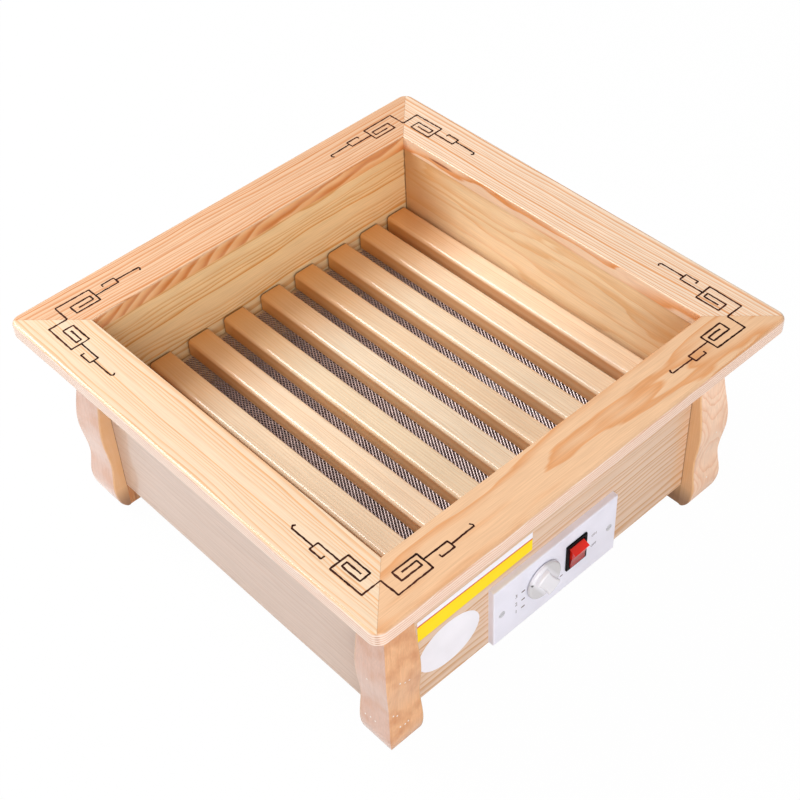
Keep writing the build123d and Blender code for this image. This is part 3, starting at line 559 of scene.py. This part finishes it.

# %% [markdown]
# On the left-hand legs the front boards are orange and the left boards a pale pink, both with
# wide, wavy rings; the pale pink is the sheen of the left-facing faces, painted into their
# colour. The right-hand ones are peach with narrow rings and the heart deep behind the face, so
# the swelling face cuts closed contour lines, like the heights on a map.

# %% Legs
ORANGE = ((0.84, 0.46, 0.23), (0.64, 0.25, 0.08))
# Pink is the pale sheen of the left faces, painted into the wood's colour.
SHEEN_PINK = ((0.70, 0.44, 0.34), (0.60, 0.30, 0.18))
PEACH = ((0.99, 0.69, 0.50), (0.86, 0.44, 0.24))
leg_names = sorted(name for name in parts if name.startswith("leg_") and name.endswith("board"))
for count, name in enumerate(leg_names):
    x, y, _ = [v / mm for v in middle(name)]
    sideways = name.endswith(("left_board", "right_board"))
    flat = (0, 1, 1) if sideways else (1, 0, 1)
    dots = nails.get(name, [])
    if name.startswith(("leg_front_right", "leg_back_right")):
        heart = (x * 0.6, y, 0) if sideways else (x, y * 0.6, 0)
        wood = pine(name, "Z", heart, *PEACH, 1.6, (0.5, 0.5), 0.9, 0.7,
                    marks=leg_marks(flat, dots, 0.15))
    else:
        side = 1 if count % 2 else -1
        heart = (x + side * (34 + 5 * count), y - side * (26 + 4 * count), 0)
        wood = pine(name, "Z", heart, *(SHEEN_PINK if sideways else ORANGE), 5.5, (3.5 * side, 2.0),
                    4.0, 0.3, cloud=0.4, coat=1.0,
                    marks=leg_marks(flat, dots, 0.45 if sideways else 0.75))
    dress(name, wood)
dress("leg_blocks", pine(
    "leg_blocks", "Z", (0, 60, 0), (0.66, 0.35, 0.17), (0.20, 0.06, 0.03), 3.0, depth=0.9,
    marks=leg_marks((1, 0, 1), [], 1.0)))
print("leg boards:", len(leg_names))

# %% [markdown]
# ## The slats
#
# Most slats are quarter sawn, so their tops show little but fine fibre, and each is a slightly
# different cream or peach. A thick, smooth varnish lies over their rounded edges and catches
# the white line of the window. Their orange sides, with a paler band, are painted shade between
# the slats, and their rear ends are painted golden brown as the shadow of the back wall.

# %% Slats
# The side colours and the golden brown of the rear ends are painted shade.
SIDE_SHADE_BEGINS, SIDE_SHADE_FULL = 0.1302, 0.1275  # heights between which top turns into side
STREAK_STEP = 0.0085  # height of the pale band along a side
REAR_SHADE_BEGINS, REAR_SHADE_FULL = 0.07, 0.172
RIM_WIDTH = 0.0011
SIDE_SHADE_BANDS = [(0.0, (0.84, 0.40, 0.14)), (0.45, (0.97, 0.58, 0.27)), (1.0, (0.84, 0.40, 0.14))]
slat_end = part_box("slat_4")[1][1]


def slat_shade_and_rim(tree, place, colour):
    """Painted shade: orange sides with a paler band, golden brown rear ends. A dark rim line."""
    _, y, z = axes(tree, place)
    streak = calc(tree, "FRACT", calc(tree, "DIVIDE", z, STREAK_STEP))
    band = ramp(tree, streak, SIDE_SHADE_BANDS)
    # Painted shade on the sides.
    colour = stain(tree, colour, band, 0.75, z, SIDE_SHADE_BEGINS, SIDE_SHADE_FULL)
    # Painted shadow of the back wall over the rear ends.
    colour = stain(tree, colour, (0.76, 0.30, 0.04), 0.85, y, REAR_SHADE_BEGINS, REAR_SHADE_FULL)
    along = calc(tree, "ABSOLUTE", y)
    return stain(tree, colour, (0.14, 0.045, 0.015), 0.85, along, slat_end - RIM_WIDTH, slat_end)


slat_tints = [
    (0.99, 0.78, 0.54), (1.0, 0.79, 0.56), (0.98, 0.76, 0.54), (0.92, 0.74, 0.52),
    (0.92, 0.75, 0.55), (0.91, 0.70, 0.48), (0.93, 0.75, 0.54), (0.92, 0.73, 0.52),
    (0.93, 0.72, 0.51),
]
for count, light in enumerate(slat_tints):
    name = f"slat_{count + 1}"
    heart_x = middle(name)[0] / mm + (70 if count % 2 else -85)
    heart = (heart_x, 0, 108 - 9 * (count % 3))
    dark = (light[0] * 0.82, light[1] * 0.62, light[2] * 0.45)
    dress(name, pine(name, "Y", heart, light, dark, 2.6, (0.3, 0.4), 1.2, 0.5,
                     coat=1.0, gloss=0.09, marks=slat_shade_and_rim))
print("slats:", len(slat_tints))

# %% [markdown]
# ## Plain inner wood
#
# Battens, rails and posts are sawn softwood without varnish, so they use the same recipe with
# no coat over it.

# %% Inner wood
carriers = ["grate_batten_front", "grate_batten_back", "grate_rail_front", "grate_rail_back"]
for count, name in enumerate(carriers):
    heart = (0, 60 * (count - 1.5), 40)
    dress(name, pine(name, "X", heart, (0.76, 0.55, 0.34), (0.55, 0.33, 0.16), 4.5, coat=0.0))
posts = [name for name in parts if name.startswith("corner_post")]
for name in posts:
    x, y, _ = middle(name)
    heart = (x / mm + 30, y / mm - 22, 0)
    dress(name, pine(name, "Z", heart, (0.74, 0.53, 0.33), (0.54, 0.32, 0.15), 3.8, coat=0.0))
print("inner pieces:", len(carriers) + len(posts))

# %% [markdown]
# The floor is plywood: its faces show one wide peeled sheet, its edges the thin layers that
# cross each other. The layers come from the height alone: it swings between 0 and 1, and above
# a half the layer is dark.

# %% Plywood
LAYER = 1.2  # thickness of a layer in mm
plywood, tree, shader = new_finish("plywood", Roughness=0.7)
local = node(tree, "Mapping", Vector=object_place(tree), Scale=PER_METRE)
layer = calc(tree, "DIVIDE", axes(tree, local)[2], LAYER)
layer = calc(tree, "GREATER_THAN", calc(tree, "PINGPONG", layer, 1.0), 0.5)
long_grain = vector(tree, "MULTIPLY", local, (0.02, 0.25, 0.6))
figure = noise(tree, long_grain, 0.6, 3.0, Distortion=1.5)
colour = ramp(tree, figure, [(0.35, (0.52, 0.36, 0.20)), (0.65, (0.70, 0.53, 0.34))])
colour = blend(tree, times(tree, layer, 0.35), colour, (0.34, 0.21, 0.11))
cover(tree, shader, colour, figure, 0.2, 0.2 * mm)
dress("base_board", plywood)
print("plywood layers of", LAYER, "mm")

# %% [markdown]
# ## Metals
#
# All the hidden metal is thin sheet or zinc-plated steel. Galvanised sheet shows flat crystals
# with slightly different greys, which is a Voronoi cell pattern. The reflector is sheet rolled
# in one direction, so its scratches are noise stretched along X; its dark brown-grey is painted
# shade, for the dark cavity seen through the mesh.

# %% Metal recipe
def metal(name, colour, rough, pattern="plain", scale=300.0, stretch=(1, 1, 1), spread=0.1):
    """A metal whose grey and roughness follow a pattern in the part's own coordinates."""
    material, tree, shader = new_finish(name, Metallic=1.0)
    local = node(tree, "Mapping", Vector=object_place(tree), Scale=stretch)
    if pattern == "crystals":
        cells = tree.nodes.new("ShaderNodeTexVoronoi")
        feed(tree, cells.inputs["Scale"], scale)
        feed(tree, cells.inputs["Vector"], local)
        value = axes(tree, cells.outputs["Color"])[0]
    else:
        value = noise(tree, local, scale, 3.0)
    grey = ramp(tree, value, shades(colour, spread, 0.2, 0.8))
    cover(tree, shader, grey, value, 0.3, 0.02 * mm)
    gloss = ramp(tree, value, [(0.2, rough * 0.8), (0.8, rough * 1.25)])
    feed(tree, shader.inputs["Roughness"], gloss)
    return material


galvanised = metal("galvanised_sheet", (0.62, 0.63, 0.64), 0.38, "crystals", 120.0)
for name in ("heat_shield", "tube_bracket_left", "tube_bracket_right"):
    dress(name, galvanised)
# The reflector's dark grey is painted shade for the dark cavity under the mesh.
dress("reflector_tray", metal(
    "reflector_painted_shade", (0.16, 0.13, 0.12), 0.35, "plain", 900.0, (0.04, 1, 1), 0.2))
zinc = metal("zinc_plate", (0.66, 0.66, 0.66), 0.33, "plain", 700.0)
for name in ("bracket_screws", "tray_screws", "post_screws", "tray_standoffs"):
    dress(name, zinc)
brass = metal("plain_brass", (0.80, 0.62, 0.30), 0.28, "plain", 500.0)
for name in ("bush_nut", "switch_terminals"):
    dress(name, brass)
dress("dial_shaft", metal(
    "turned_aluminium", (0.80, 0.80, 0.81), 0.25, "plain", 2500.0, (0.2, 6, 0.2)))
print("materials so far:", len(bpy.data.materials))

# %% [markdown]
# ## Mouldings, ceramic and quartz
#
# Moulded plastic is never perfectly even: a faint orange-peel relief and a slow change of gloss
# keep it from looking like paint. The same recipe under a clear coat makes glazed ceramic.

# %% Moulding recipe
def moulding(name, colour, rough=0.3, peel=0.05, variation=0.03, marks=None, **plain):
    """Moulded plastic: slow noise shifts the colour a little, fine noise is the orange peel."""
    material, tree, shader = new_finish(name, **plain)
    place = object_place(tree)
    slow = noise(tree, place, 35.0)
    made = ramp(tree, slow, shades(colour, variation, 0.35, 0.65))
    if marks:
        made = marks(tree, place, made)
    cover(tree, shader, made, noise(tree, place, 1400.0, 1.0), peel, 0.2 * mm)
    gloss = ramp(tree, slow, [(0.3, rough * 0.85), (0.7, rough * 1.15)])
    feed(tree, shader.inputs["Roughness"], gloss)
    return material


print("moulding recipe ready")

# %% [markdown]
# Two mouldings carry marks. The knob's finger hollows on both sides of its bar are painted grey
# as shade, and a dark dot points to the dashes. The red of the rocker is painted deep and dark
# below its middle as shade, so its upper half looks the brighter.

# %% Knob and rocker marks
BAR_ACROSS = (0.857, 0.515)  # the way across the knob's bar, in x and z
# Between these distances from the bar the hollows are painted grey as shade.
HOLLOW_SHADE_BEGINS, HOLLOW_SHADE_FULL = 0.0075, 0.0110  # distance from the middle of the bar
DOT_OFF = (0.0158, -0.0070)  # brings the dot, up on the left, to the knob's axis
dial_x, _, dial_z = middle("dial_knob")
rocker_middle = middle("switch_rocker")[2]


def knob_shade_and_dot(tree, place, colour):
    """Painted grey shade in the finger hollows beside the bar, and the dark dot."""
    x, _, z = axes(tree, place)
    beside = calc(tree, "SUBTRACT", x, dial_x)
    above = calc(tree, "SUBTRACT", z, dial_z)
    across = times(tree, above, BAR_ACROSS[1])
    across = calc(tree, "MULTIPLY_ADD", beside, BAR_ACROSS[0], across)
    across = calc(tree, "ABSOLUTE", across)
    # Painted shade in the finger hollows.
    colour = stain(tree, colour, (0.56, 0.55, 0.56), 0.75, across, HOLLOW_SHADE_BEGINS, HOLLOW_SHADE_FULL)
    steps = [calc(tree, "ADD", value, off) for value, off in zip((beside, above), DOT_OFF)]
    squares = [times(tree, step, step) for step in steps]
    away = calc(tree, "SQRT", calc(tree, "ADD", *squares))
    return stain(tree, colour, (0.06, 0.05, 0.05), 0.9, away, 0.0013, 0.0007)


def rocker_lower_shade(tree, place, colour):
    """Painted shade: below the middle of the rocker the red is deep and dark."""
    return stain(tree, colour, (0.30, 0.008, 0.012), 0.85, axes(tree, place)[2],
                 rocker_middle + mm, rocker_middle - mm)


print("knob axis at", dial_x, dial_z)

# %% [markdown]
# The other parts take the recipe as it is. The black housing is dull, so it gets almost no
# shine, and the smoky quartz is the only one that light passes through.

# %% Mouldings
dress("control_plate", moulding("plate_white", (0.82, 0.81, 0.91), 0.35, 0.04))
dress("dial_knob", moulding(
    "knob_white", (0.84, 0.83, 0.88), 0.22, 0.02, 0.02, knob_shade_and_dot,
    Coat_Weight=0.5, Coat_Roughness=0.08))
dress("plate_screws", moulding("screw_white", (0.60, 0.60, 0.64), 0.3, 0.02))
dress("switch_housing", moulding(
    "switch_black", (0.003, 0.003, 0.004), 0.5, 0.02, Specular_IOR_Level=0.1))
dress("switch_rocker", moulding(
    "rocker_red", (0.86, 0.016, 0.004), 0.3, 0.01, 0.15, rocker_lower_shade,
    Coat_Weight=0.5, Coat_Roughness=0.06))
dress("regulator", moulding("regulator_brown", (0.10, 0.07, 0.05), 0.5, 0.1))
dress("thermal_cutout", moulding("cutout_black", (0.03, 0.03, 0.03), 0.45, 0.1))
dress("terminal_block", moulding("block_nylon", (0.80, 0.79, 0.74), 0.45, 0.06))
dress("tube_caps", moulding("cap_ceramic", (0.82, 0.80, 0.74), 0.2, 0.05, Coat_Weight=0.5))
quartz = moulding(
    "smoky_quartz", (0.42, 0.36, 0.32), 0.15, 0.02, Transmission_Weight=0.9, IOR=1.46)
for name in ("heating_tube_front", "heating_tube_back"):
    dress(name, quartz)
print("materials so far:", len(bpy.data.materials))

# %% [markdown]
# ## Meshes from formulas
#
# Every new piece is a surface worked out with numpy. `grid_faces` joins the neighbours of a
# grid of points with four-sided faces, `square_bar` carries a square section along a line, and
# `join` puts several such bars into one mesh. Each object stays at the origin, so its place is
# in its mesh, like the parts of the frame.

# %% Mesh helpers
def grid_faces(rows, columns, closed_round):
    """Faces between neighbouring points of a rows x columns grid, as an array of indices."""
    wrap = columns if closed_round else columns - 1
    row, column = np.meshgrid(np.arange(rows - 1), np.arange(wrap), indexing="ij")
    here = row * columns + column
    beside = row * columns + (column + 1) % columns
    return np.stack((here, beside, beside + columns, here + columns), -1).reshape(-1, 4)


def join(grids):
    """Stack bars of one shape (count, rows, 4, 3) into points and faces, with closed ends."""
    count, rows, columns, _ = grids.shape
    first = np.array([[3, 2, 1, 0]])
    last = (rows - 1) * columns + first[:, ::-1]
    faces = np.concatenate((grid_faces(rows, columns, True), first, last))
    offsets = (np.arange(count) * rows * columns)[:, None, None]
    return grids.reshape(-1, 3), (faces[None] + offsets).reshape(-1, 4)


def square_bar(line, side, lift, width, thickness):
    """Carry a four-cornered section along lines of points: width goes along `side`,
    thickness along `lift`. line has shape (..., rows, 3), the result (..., rows, 4, 3)."""
    corners = [(-0.5, -0.5), (0.5, -0.5), (0.5, 0.5), (-0.5, 0.5)]
    return np.stack([line + width * a * side + thickness * b * lift for a, b in corners], -2)


def unit(vectors):
    """Each vector divided by its length."""
    return vectors / np.linalg.norm(vectors, axis=-1, keepdims=True)


def make_mesh(name, points, faces, material, smooth=False):
    """Make a mesh object at the origin."""
    mesh = bpy.data.meshes.new(name)
    mesh.from_pydata(points.tolist(), [], faces.tolist())
    mesh.materials.append(material)
    mesh.polygons.foreach_set("use_smooth", np.full(len(mesh.polygons), smooth))
    mesh.update()
    print(name, len(points), "points", len(faces), "faces")
    return put_in_scene(name, mesh)


def add_piece(name, points, faces, material, body, smooth=False):
    """Make a mesh object that rides on a body."""
    piece = make_mesh(name, points, faces, material, smooth)
    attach(piece, body)
    return piece


print("mesh helpers ready")

# %% [markdown]
# ## The guard mesh
#
# Under the slats lies fine expanded metal: a sheet is slit and pulled open, so it has diamond
# openings 2.9 mm across and 4.7 mm long, and flat strands that twist. Each strand is a zigzag
# line from front to back, which touches its two neighbours in turn. Its section is tilted to
# one side, and the runs of one diagonal are painted lit and those of the other painted shaded,
# so only one of the two diagonals shines.

# %% Guard mesh strands
OPENING_X, OPENING_Y = 2.91 * mm, 4.65 * mm
STRAND_WIDTH, STRAND_THICKNESS = 0.75 * mm, 0.3 * mm
STRAND_TILT = np.array((0.86, 0.12, 0.5))
SWING = 0.86  # how far a strand swings towards its neighbour, as a share
low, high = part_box("guard_mesh")
count_x = int((high[0] - low[0]) / (OPENING_X / 2))
count_y = int((high[1] - low[1]) / (OPENING_Y / 2))
pitch_x = (high[0] - low[0]) / count_x
columns = low[0] + (np.arange(count_x) + 0.5) * pitch_x
stations = np.linspace(low[1], high[1], count_y + 1)
turns = np.arange(count_y + 1)
middle_z = middle("guard_mesh")[2]


def strands(which):
    """Zigzag strands: x swings by half a step each station, in turn with its neighbours."""
    left = (turns[None] + np.arange(count_x)[which, None]) % 2 == 0
    x = columns[which, None] + np.where(left, -0.5, 0.5) * pitch_x * SWING
    y = np.broadcast_to(stations, x.shape)
    line = np.stack((x, y, np.full_like(x, middle_z)), -1)
    side = np.broadcast_to(STRAND_TILT, line.shape)
    lift = unit(np.cross(unit(np.gradient(line, axis=1)), side))
    return square_bar(line, side, lift, STRAND_WIDTH, STRAND_THICKNESS)


print("strands:", count_x, "stations:", count_y)

# %% [markdown]
# The mesh is made in two halves, because one piece would have too many faces. Each run of a
# strand has four flanks, and each strand two ends: an array picks painted lit or painted shaded
# steel for every face by the way its run leans.

# %% Guard mesh halves
# One steel in a painted lit and a painted shaded copy.
painted_lit_steel = metal("mesh_painted_lit", (0.52, 0.42, 0.40), 0.38, spread=0.25)
painted_shaded_steel = metal("mesh_painted_shade", (0.27, 0.19, 0.18), 0.5, spread=0.3)
half = count_x // 2
for word, which in (("left", np.arange(half)), ("right", np.arange(half, count_x))):
    points, faces = join(strands(which))
    piece = add_piece(f"expanded_mesh_{word}", points, faces, painted_shaded_steel, "grate")
    piece.data.materials.append(painted_lit_steel)
    leaning = (turns[None, :-1] + which[:, None]) % 2 == 0
    flanks = np.repeat(leaning[..., None], 4, -1).reshape(len(which), -1)
    finish = np.concatenate((flanks, np.zeros((len(which), 2), bool)), 1)
    piece.data.polygons.foreach_set("material_index", finish.ravel().astype(np.int32))
    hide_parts("guard_mesh")

# %% [markdown]
# ## The burned ornament
#
# A key fret is burned into each corner of the frame: a plain line that turns square corners.
# The path is written once, in millimetres, for the front left corner as seen from above, and
# the other corners are its mirror images.

# %% Fret paths
left_arm = [
    [(-189.3, -190), (-207, -190.3), (-207.5, -157.5), (-190, -157.5), (-190, -180.5),
     (-200, -180.5), (-200, -161.5), (-195, -161.5), (-195, -176.5)],
    [(-198, -157.5), (-198, -134), (-206, -134), (-206, -146.5), (-202.5, -146.5)],
    [(-202.5, -134), (-202.5, -110.5), (-200.5, -109), (-198.5, -110.5)],
]
front_arm = [
    [(-189.3, -190), (-189, -208), (-155.5, -207.5), (-155.5, -190.5), (-179, -190.5),
     (-179, -200.5), (-159.5, -200.5), (-159.5, -195), (-174, -195)],
    [(-155.5, -197.5), (-132, -197.5), (-132, -205), (-144.5, -205), (-144.5, -202)],
    [(-132, -201.5), (-109, -201), (-108.5, -199.5), (-110, -197)],
]
print("fret lines in a corner:", len(left_arm + front_arm))

# %% [markdown]
# The line is a flat bar sunk into the wood until only a fiftieth of a millimetre stands out.
# No burned line is quite even, so smoothed random numbers push its points sideways and change
# its width. Two of the mirror images turn the faces inside out, so there the corners of each
# face are read backwards.

# %% Burned line
LINE_WIDTH, LINE_THICKNESS, LINE_SUNK = 1.65, 0.12, 0.04  # mm
POINT_STEP = 1.2  # mm between two points
TREMBLE, WIDTH_CHANGE = 0.12, 2.6


def burned_line(path, random):
    """A bar along a path: points every 1.2 mm and at each corner, pushed by smoothed noise."""
    path = np.array(path)
    lengths = np.r_[0, np.cumsum(np.linalg.norm(np.diff(path, axis=0), axis=1))]
    count = int(lengths[-1] / POINT_STEP)
    along = np.unique(np.r_[np.linspace(0, lengths[-1], count), lengths])
    x, y = (np.interp(along, lengths, path[:, axis]) for axis in (0, 1))
    soft = np.array((0.25, 0.5, 0.25))
    wobble = np.stack([
        np.convolve(random.normal(0, TREMBLE, len(along)), soft, "same") for _ in range(3)])
    line = np.stack((x + wobble[0], y + wobble[1], np.zeros_like(x)), -1)
    heading = unit(np.gradient(line, axis=0))
    side = np.stack((heading[:, 1], -heading[:, 0], heading[:, 2]), -1)
    lift = np.broadcast_to(np.array((0.0, 0.0, 1.0)), line.shape)
    width = LINE_WIDTH + wobble[2][:, None] * WIDTH_CHANGE
    bar = square_bar(line, side, lift, width, LINE_THICKNESS)
    return bar * mm + np.array((0, 0, frame_top - LINE_SUNK * mm))


burned = moulding(
    "burned_wood", (0.050, 0.013, 0.007), 0.6, 0.4, 0.5, Specular_IOR_Level=0.1)
random = np.random.default_rng(7)
for x_sign, x_word in ((1, "left"), (-1, "right")):
    for y_sign, y_word in ((1, "front"), (-1, "back")):
        points, faces, start = [], [], 0
        for path in left_arm + front_arm:
            bar = burned_line(path, random) * np.array((x_sign, y_sign, 1))
            new_points, new_faces = join(bar[None])
            if x_sign * y_sign < 0:
                new_faces = new_faces[:, ::-1]
            points.append(new_points)
            faces.append(new_faces + start)
            start += len(new_points)
        add_piece(f"fret_{y_word}_{x_word}", np.concatenate(points), np.concatenate(faces),
                  burned, "box")

# %% [markdown]
# ## Heating coils
#
# In each quartz tube lies a close coil of resistance wire. The solid in the frame is only its
# outer shape; here it is wound for real, as a helix whose section is a small square.

# %% Coils
WIRE, WINDING = 0.7 * mm, 1.7 * mm  # thickness of the wire, and from turn to turn
END_PLAY, SHELL_PLAY = 1 * mm, 0.4 * mm
wire = metal("resistance_wire", (0.30, 0.27, 0.25), 0.4, "plain", 900.0)
for end in ("front", "back"):
    low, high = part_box(f"heating_coil_{end}")
    radius = (high[2] - low[2]) / 2 - SHELL_PLAY
    _, axis_y, axis_z = middle(f"heating_coil_{end}")
    windings = int((high[0] - low[0] - 2 * END_PLAY) / WINDING)
    angle = np.linspace(0, 2 * math.pi * windings, 12 * windings + 1)
    x = np.linspace(low[0] + END_PLAY, high[0] - END_PLAY, len(angle))
    outward = np.stack((np.zeros_like(angle), np.cos(angle), np.sin(angle)), -1)
    axis = np.stack((x, np.full_like(x, axis_y), np.full_like(x, axis_z)), -1)
    along = np.broadcast_to(np.array((1.0, 0, 0)), axis.shape)
    bar = square_bar(axis + radius * outward, along, outward, WIRE, WIRE)
    points, faces = join(bar[None])
    piece = add_piece(f"coil_wire_{end}", points, faces, wire, "box", smooth=True)
    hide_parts(f"heating_coil_{end}")

# %% [markdown]
# ## Marks on the control plate
#
# Round the dial the plate is printed with short dashes and plain numbers, and beside the rocker
# with ON and OFF. A font curve is made a mesh and stood up, a hair in front of the plate. Each
# row gives its size, its place from the middle and its depth below the top of the frame.

# %% Plate marks
plate_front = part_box("control_plate")[0][1]
top_mm = frame_top / mm
grey_print = moulding("grey_print", (0.12, 0.08, 0.08), 0.5, 0.0, 0.1)
plate_words = [
    ("dial_dash_0", "-", 16, -45.5, 140.6),
    ("dial_number_0", "3", 6.0, -53.4, 141.8),
    ("dial_dash_1", "-", 16, -45.5, 150.8),
    ("dial_number_1", "2", 6.0, -53.4, 152.0),
    ("dial_dash_2", "-", 16, -45.5, 160.6),
    ("dial_number_2", "1", 6.0, -53.4, 161.8),
    ("dial_dash_off", "-", 15, -3.8, 154.7),
    ("dial_dash_low", "-", 13, -0.1, 161.7),
    ("dial_number_off", "0", 4.6, -8.1, 165.4),
    ("rocker_on", "ON", 4.0, 38.5, 142.5),
    ("rocker_off", "OFF", 4.0, 38.5, 155.5),
]
for name, words, size, x, below_top in plate_words:
    curve = bpy.data.curves.new(name, "FONT")
    curve.body = words
    curve.size = size * mm
    curve.extrude = 0.04 * mm
    curve.align_x = curve.align_y = "CENTER"
    holder = bpy.data.objects.new(name, curve)
    mesh = bpy.data.meshes.new_from_object(holder)
    bpy.data.objects.remove(holder)
    place = Matrix.Translation((x * mm, plate_front - 0.02 * mm, (top_mm - below_top) * mm))
    mesh.transform(place @ Matrix.Rotation(math.radians(90), 4, "X"))
    mesh.materials.clear()
    mesh.materials.append(grey_print)
    mesh.name = name
    piece = put_in_scene(name, mesh)
    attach(piece, "box")
print("printed marks:", len(plate_words))

# %% [markdown]
# ## Paper on the front wall
#
# The front wall carries two pieces of glossy paper: a long strip with a white upper part, a
# thin red line and a yellow lower part, and a white oval. Each is a thin sheet worked out as a
# grid: the strip between two sloping lines, the oval as rows of an ellipse.

# %% Paper recipe
PAPER_OFF, PAPER_THICK = 0.15 * mm, 0.14 * mm  # its front stands 0.15 mm off the wall
wall_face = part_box("wall_front")[0][1]


def paper(name, outline_at, rows, columns, material):
    """A closed sheet: outline_at(u, v) gives x and z in mm for both in 0..1."""
    u, v = np.meshgrid(np.linspace(0, 1, rows), np.linspace(0, 1, columns), indexing="ij")
    x, z = outline_at(u, v)
    front = np.stack((x * mm, np.full_like(x, wall_face - PAPER_OFF), (z + top_mm) * mm), -1)
    back = front + np.array((0, PAPER_THICK, 0))
    faces = grid_faces(rows, columns, False)
    count = rows * columns
    edge = np.r_[
        np.arange(columns), np.arange(1, rows) * columns + columns - 1,
        (rows - 1) * columns + np.arange(columns - 2, -1, -1),
        np.arange(rows - 2, 0, -1) * columns]
    after = np.roll(edge, -1)
    rim = np.stack((edge, edge + count, after + count, after), -1)
    all_faces = np.concatenate((faces[:, ::-1], faces + count, rim[:, ::-1]))
    points = np.concatenate((front.reshape(-1, 3), back.reshape(-1, 3)))
    return add_piece(name, points, all_faces, material, "box")


print("wall face at y", wall_face)

# %% [markdown]
# The outlines are in millimetres from the middle of the wall and from the top of the frame. An
# ellipse has no corners for a grid, so its rows shrink towards the top and the bottom, where
# the last hundredth of a millimetre is left out. The height over the sloping lower edge of the
# strip picks its colour.

# %% Papers
YELLOW, RED, WHITE = (0.98, 0.72, 0.005), (0.62, 0.04, 0.03), (0.88, 0.86, 0.92)
striped, tree, shader = new_finish("strip_paper", Roughness=0.5, Specular_IOR_Level=0.2)
x, _, z = axes(tree, object_place(tree))
level = fade(tree, calc(tree, "MULTIPLY_ADD", x, 0.018, z), 0.0960, 0.1260)
bands = [(0.0, YELLOW), (0.66, YELLOW), (0.67, RED), (0.71, RED), (0.72, WHITE)]
feed(tree, shader.inputs["Base Color"], ramp(tree, level, bands))


def strip_outline(u, v):
    """Left end x -154.4, right end -29.8; the lower edge rises 2.5 mm to the right."""
    x = -154.4 + 124.6 * u
    bottom = -111.0 + 2.5 * u
    return x, bottom + (-87.0 - bottom) * v


def oval_outline(u, v):
    """An ellipse 66 x 50 mm round (-122, -141): v picks the height by its sine, and u runs
    from the left rim to the right one."""
    angle = (v - 0.5) * math.pi * 0.98
    return -122 + 33 * np.cos(angle) * (2 * u - 1), -141 + 25 * np.sin(angle)


paper("paper_strip", strip_outline, 24, 6, striped)
paper("paper_oval", oval_outline, 10, 49, moulding("oval_paper", WHITE, 0.35, 0.02))

# %% [markdown]
# ## Floor
#
# The photograph was taken in a white room. A wide floor keeps the soft shadow of the object.
# The camera and the glass see almost only its white glow, so that it joins the white sky
# without an edge, and all other light meets a plain pale surface.

# %% Floor
GLOW = 0.985  # the share of white glow that the camera sees
FLOOR_REACH, FLOOR_CORNERS, FLOOR_DROP = 6, 25, 0.0002


def eye_rays(tree):
    """1 for rays from the camera and through glass, 0 for all others."""
    rays = tree.nodes.new("ShaderNodeLightPath")
    return calc(
        tree, "MAXIMUM", rays.outputs["Is Camera Ray"], rays.outputs["Is Transmission Ray"])


floor_white, tree, shader = new_finish(
    "floor_white", Roughness=0.9, Base_Color=(0.86, 0.86, 0.86, 1))
glow = tree.nodes.new("ShaderNodeEmission")
mixed = node(tree, "MixShader", i0=times(tree, eye_rays(tree), GLOW),
             i1=shader.outputs[0], i2=glow.outputs[0])
feed(tree, tree.nodes["Material Output"].inputs["Surface"], mixed)
reach = np.linspace(-FLOOR_REACH, FLOOR_REACH, FLOOR_CORNERS)
x, y = np.meshgrid(reach, reach, indexing="ij")
points = np.stack((x, y, np.full_like(x, -FLOOR_DROP)), -1).reshape(-1, 3)
faces = grid_faces(FLOOR_CORNERS, FLOOR_CORNERS, False)[:, ::-1]
floor = make_mesh("floor", points, faces, floor_white)

# %% [markdown]
# ## Light
#
# The sky is white to the eye but weak as a light, or it would wash the wood out. One large soft
# lamp stands high behind the left corner: it draws the white line along the slats and leaves
# their back ends in the shade of the wall. A second one stands low in front and lights the
# walls that we see.

# %% Light
SKY = 0.35  # strength of the sky for all rays that the eye doesn't see
world = bpy.data.worlds.new("room")
bpy.context.scene.world = world
world.use_nodes = True
tree = world.node_tree
sky = tree.nodes["Background"]
feed(tree, sky.inputs["Color"], (1, 1, 1, 1))
strength = calc(tree, "MULTIPLY_ADD", eye_rays(tree), 1 - SKY, SKY)
feed(tree, sky.inputs["Strength"], strength)


def soft_lamp(name, direction, distance, size, watts):
    """A square lamp that looks back at the object from this direction."""
    direction = Vector(direction).normalized()
    data = bpy.data.lights.new(name, "AREA")
    data.size = size
    data.energy = watts
    lamp = put_in_scene(name, data)
    lamp.location = direction * distance + Vector((0, 0, 0.1))
    lamp.rotation_euler = direction.to_track_quat("Z", "Y").to_euler()
    print(name, tuple(round(v, 2) for v in lamp.location), watts, "W")


soft_lamp("window_lamp", (-0.28, 0.65, 0.71), 2.2, 1.3, 44)
soft_lamp("front_lamp", (-0.36, -0.83, 0.40), 2.8, 1.5, 45)
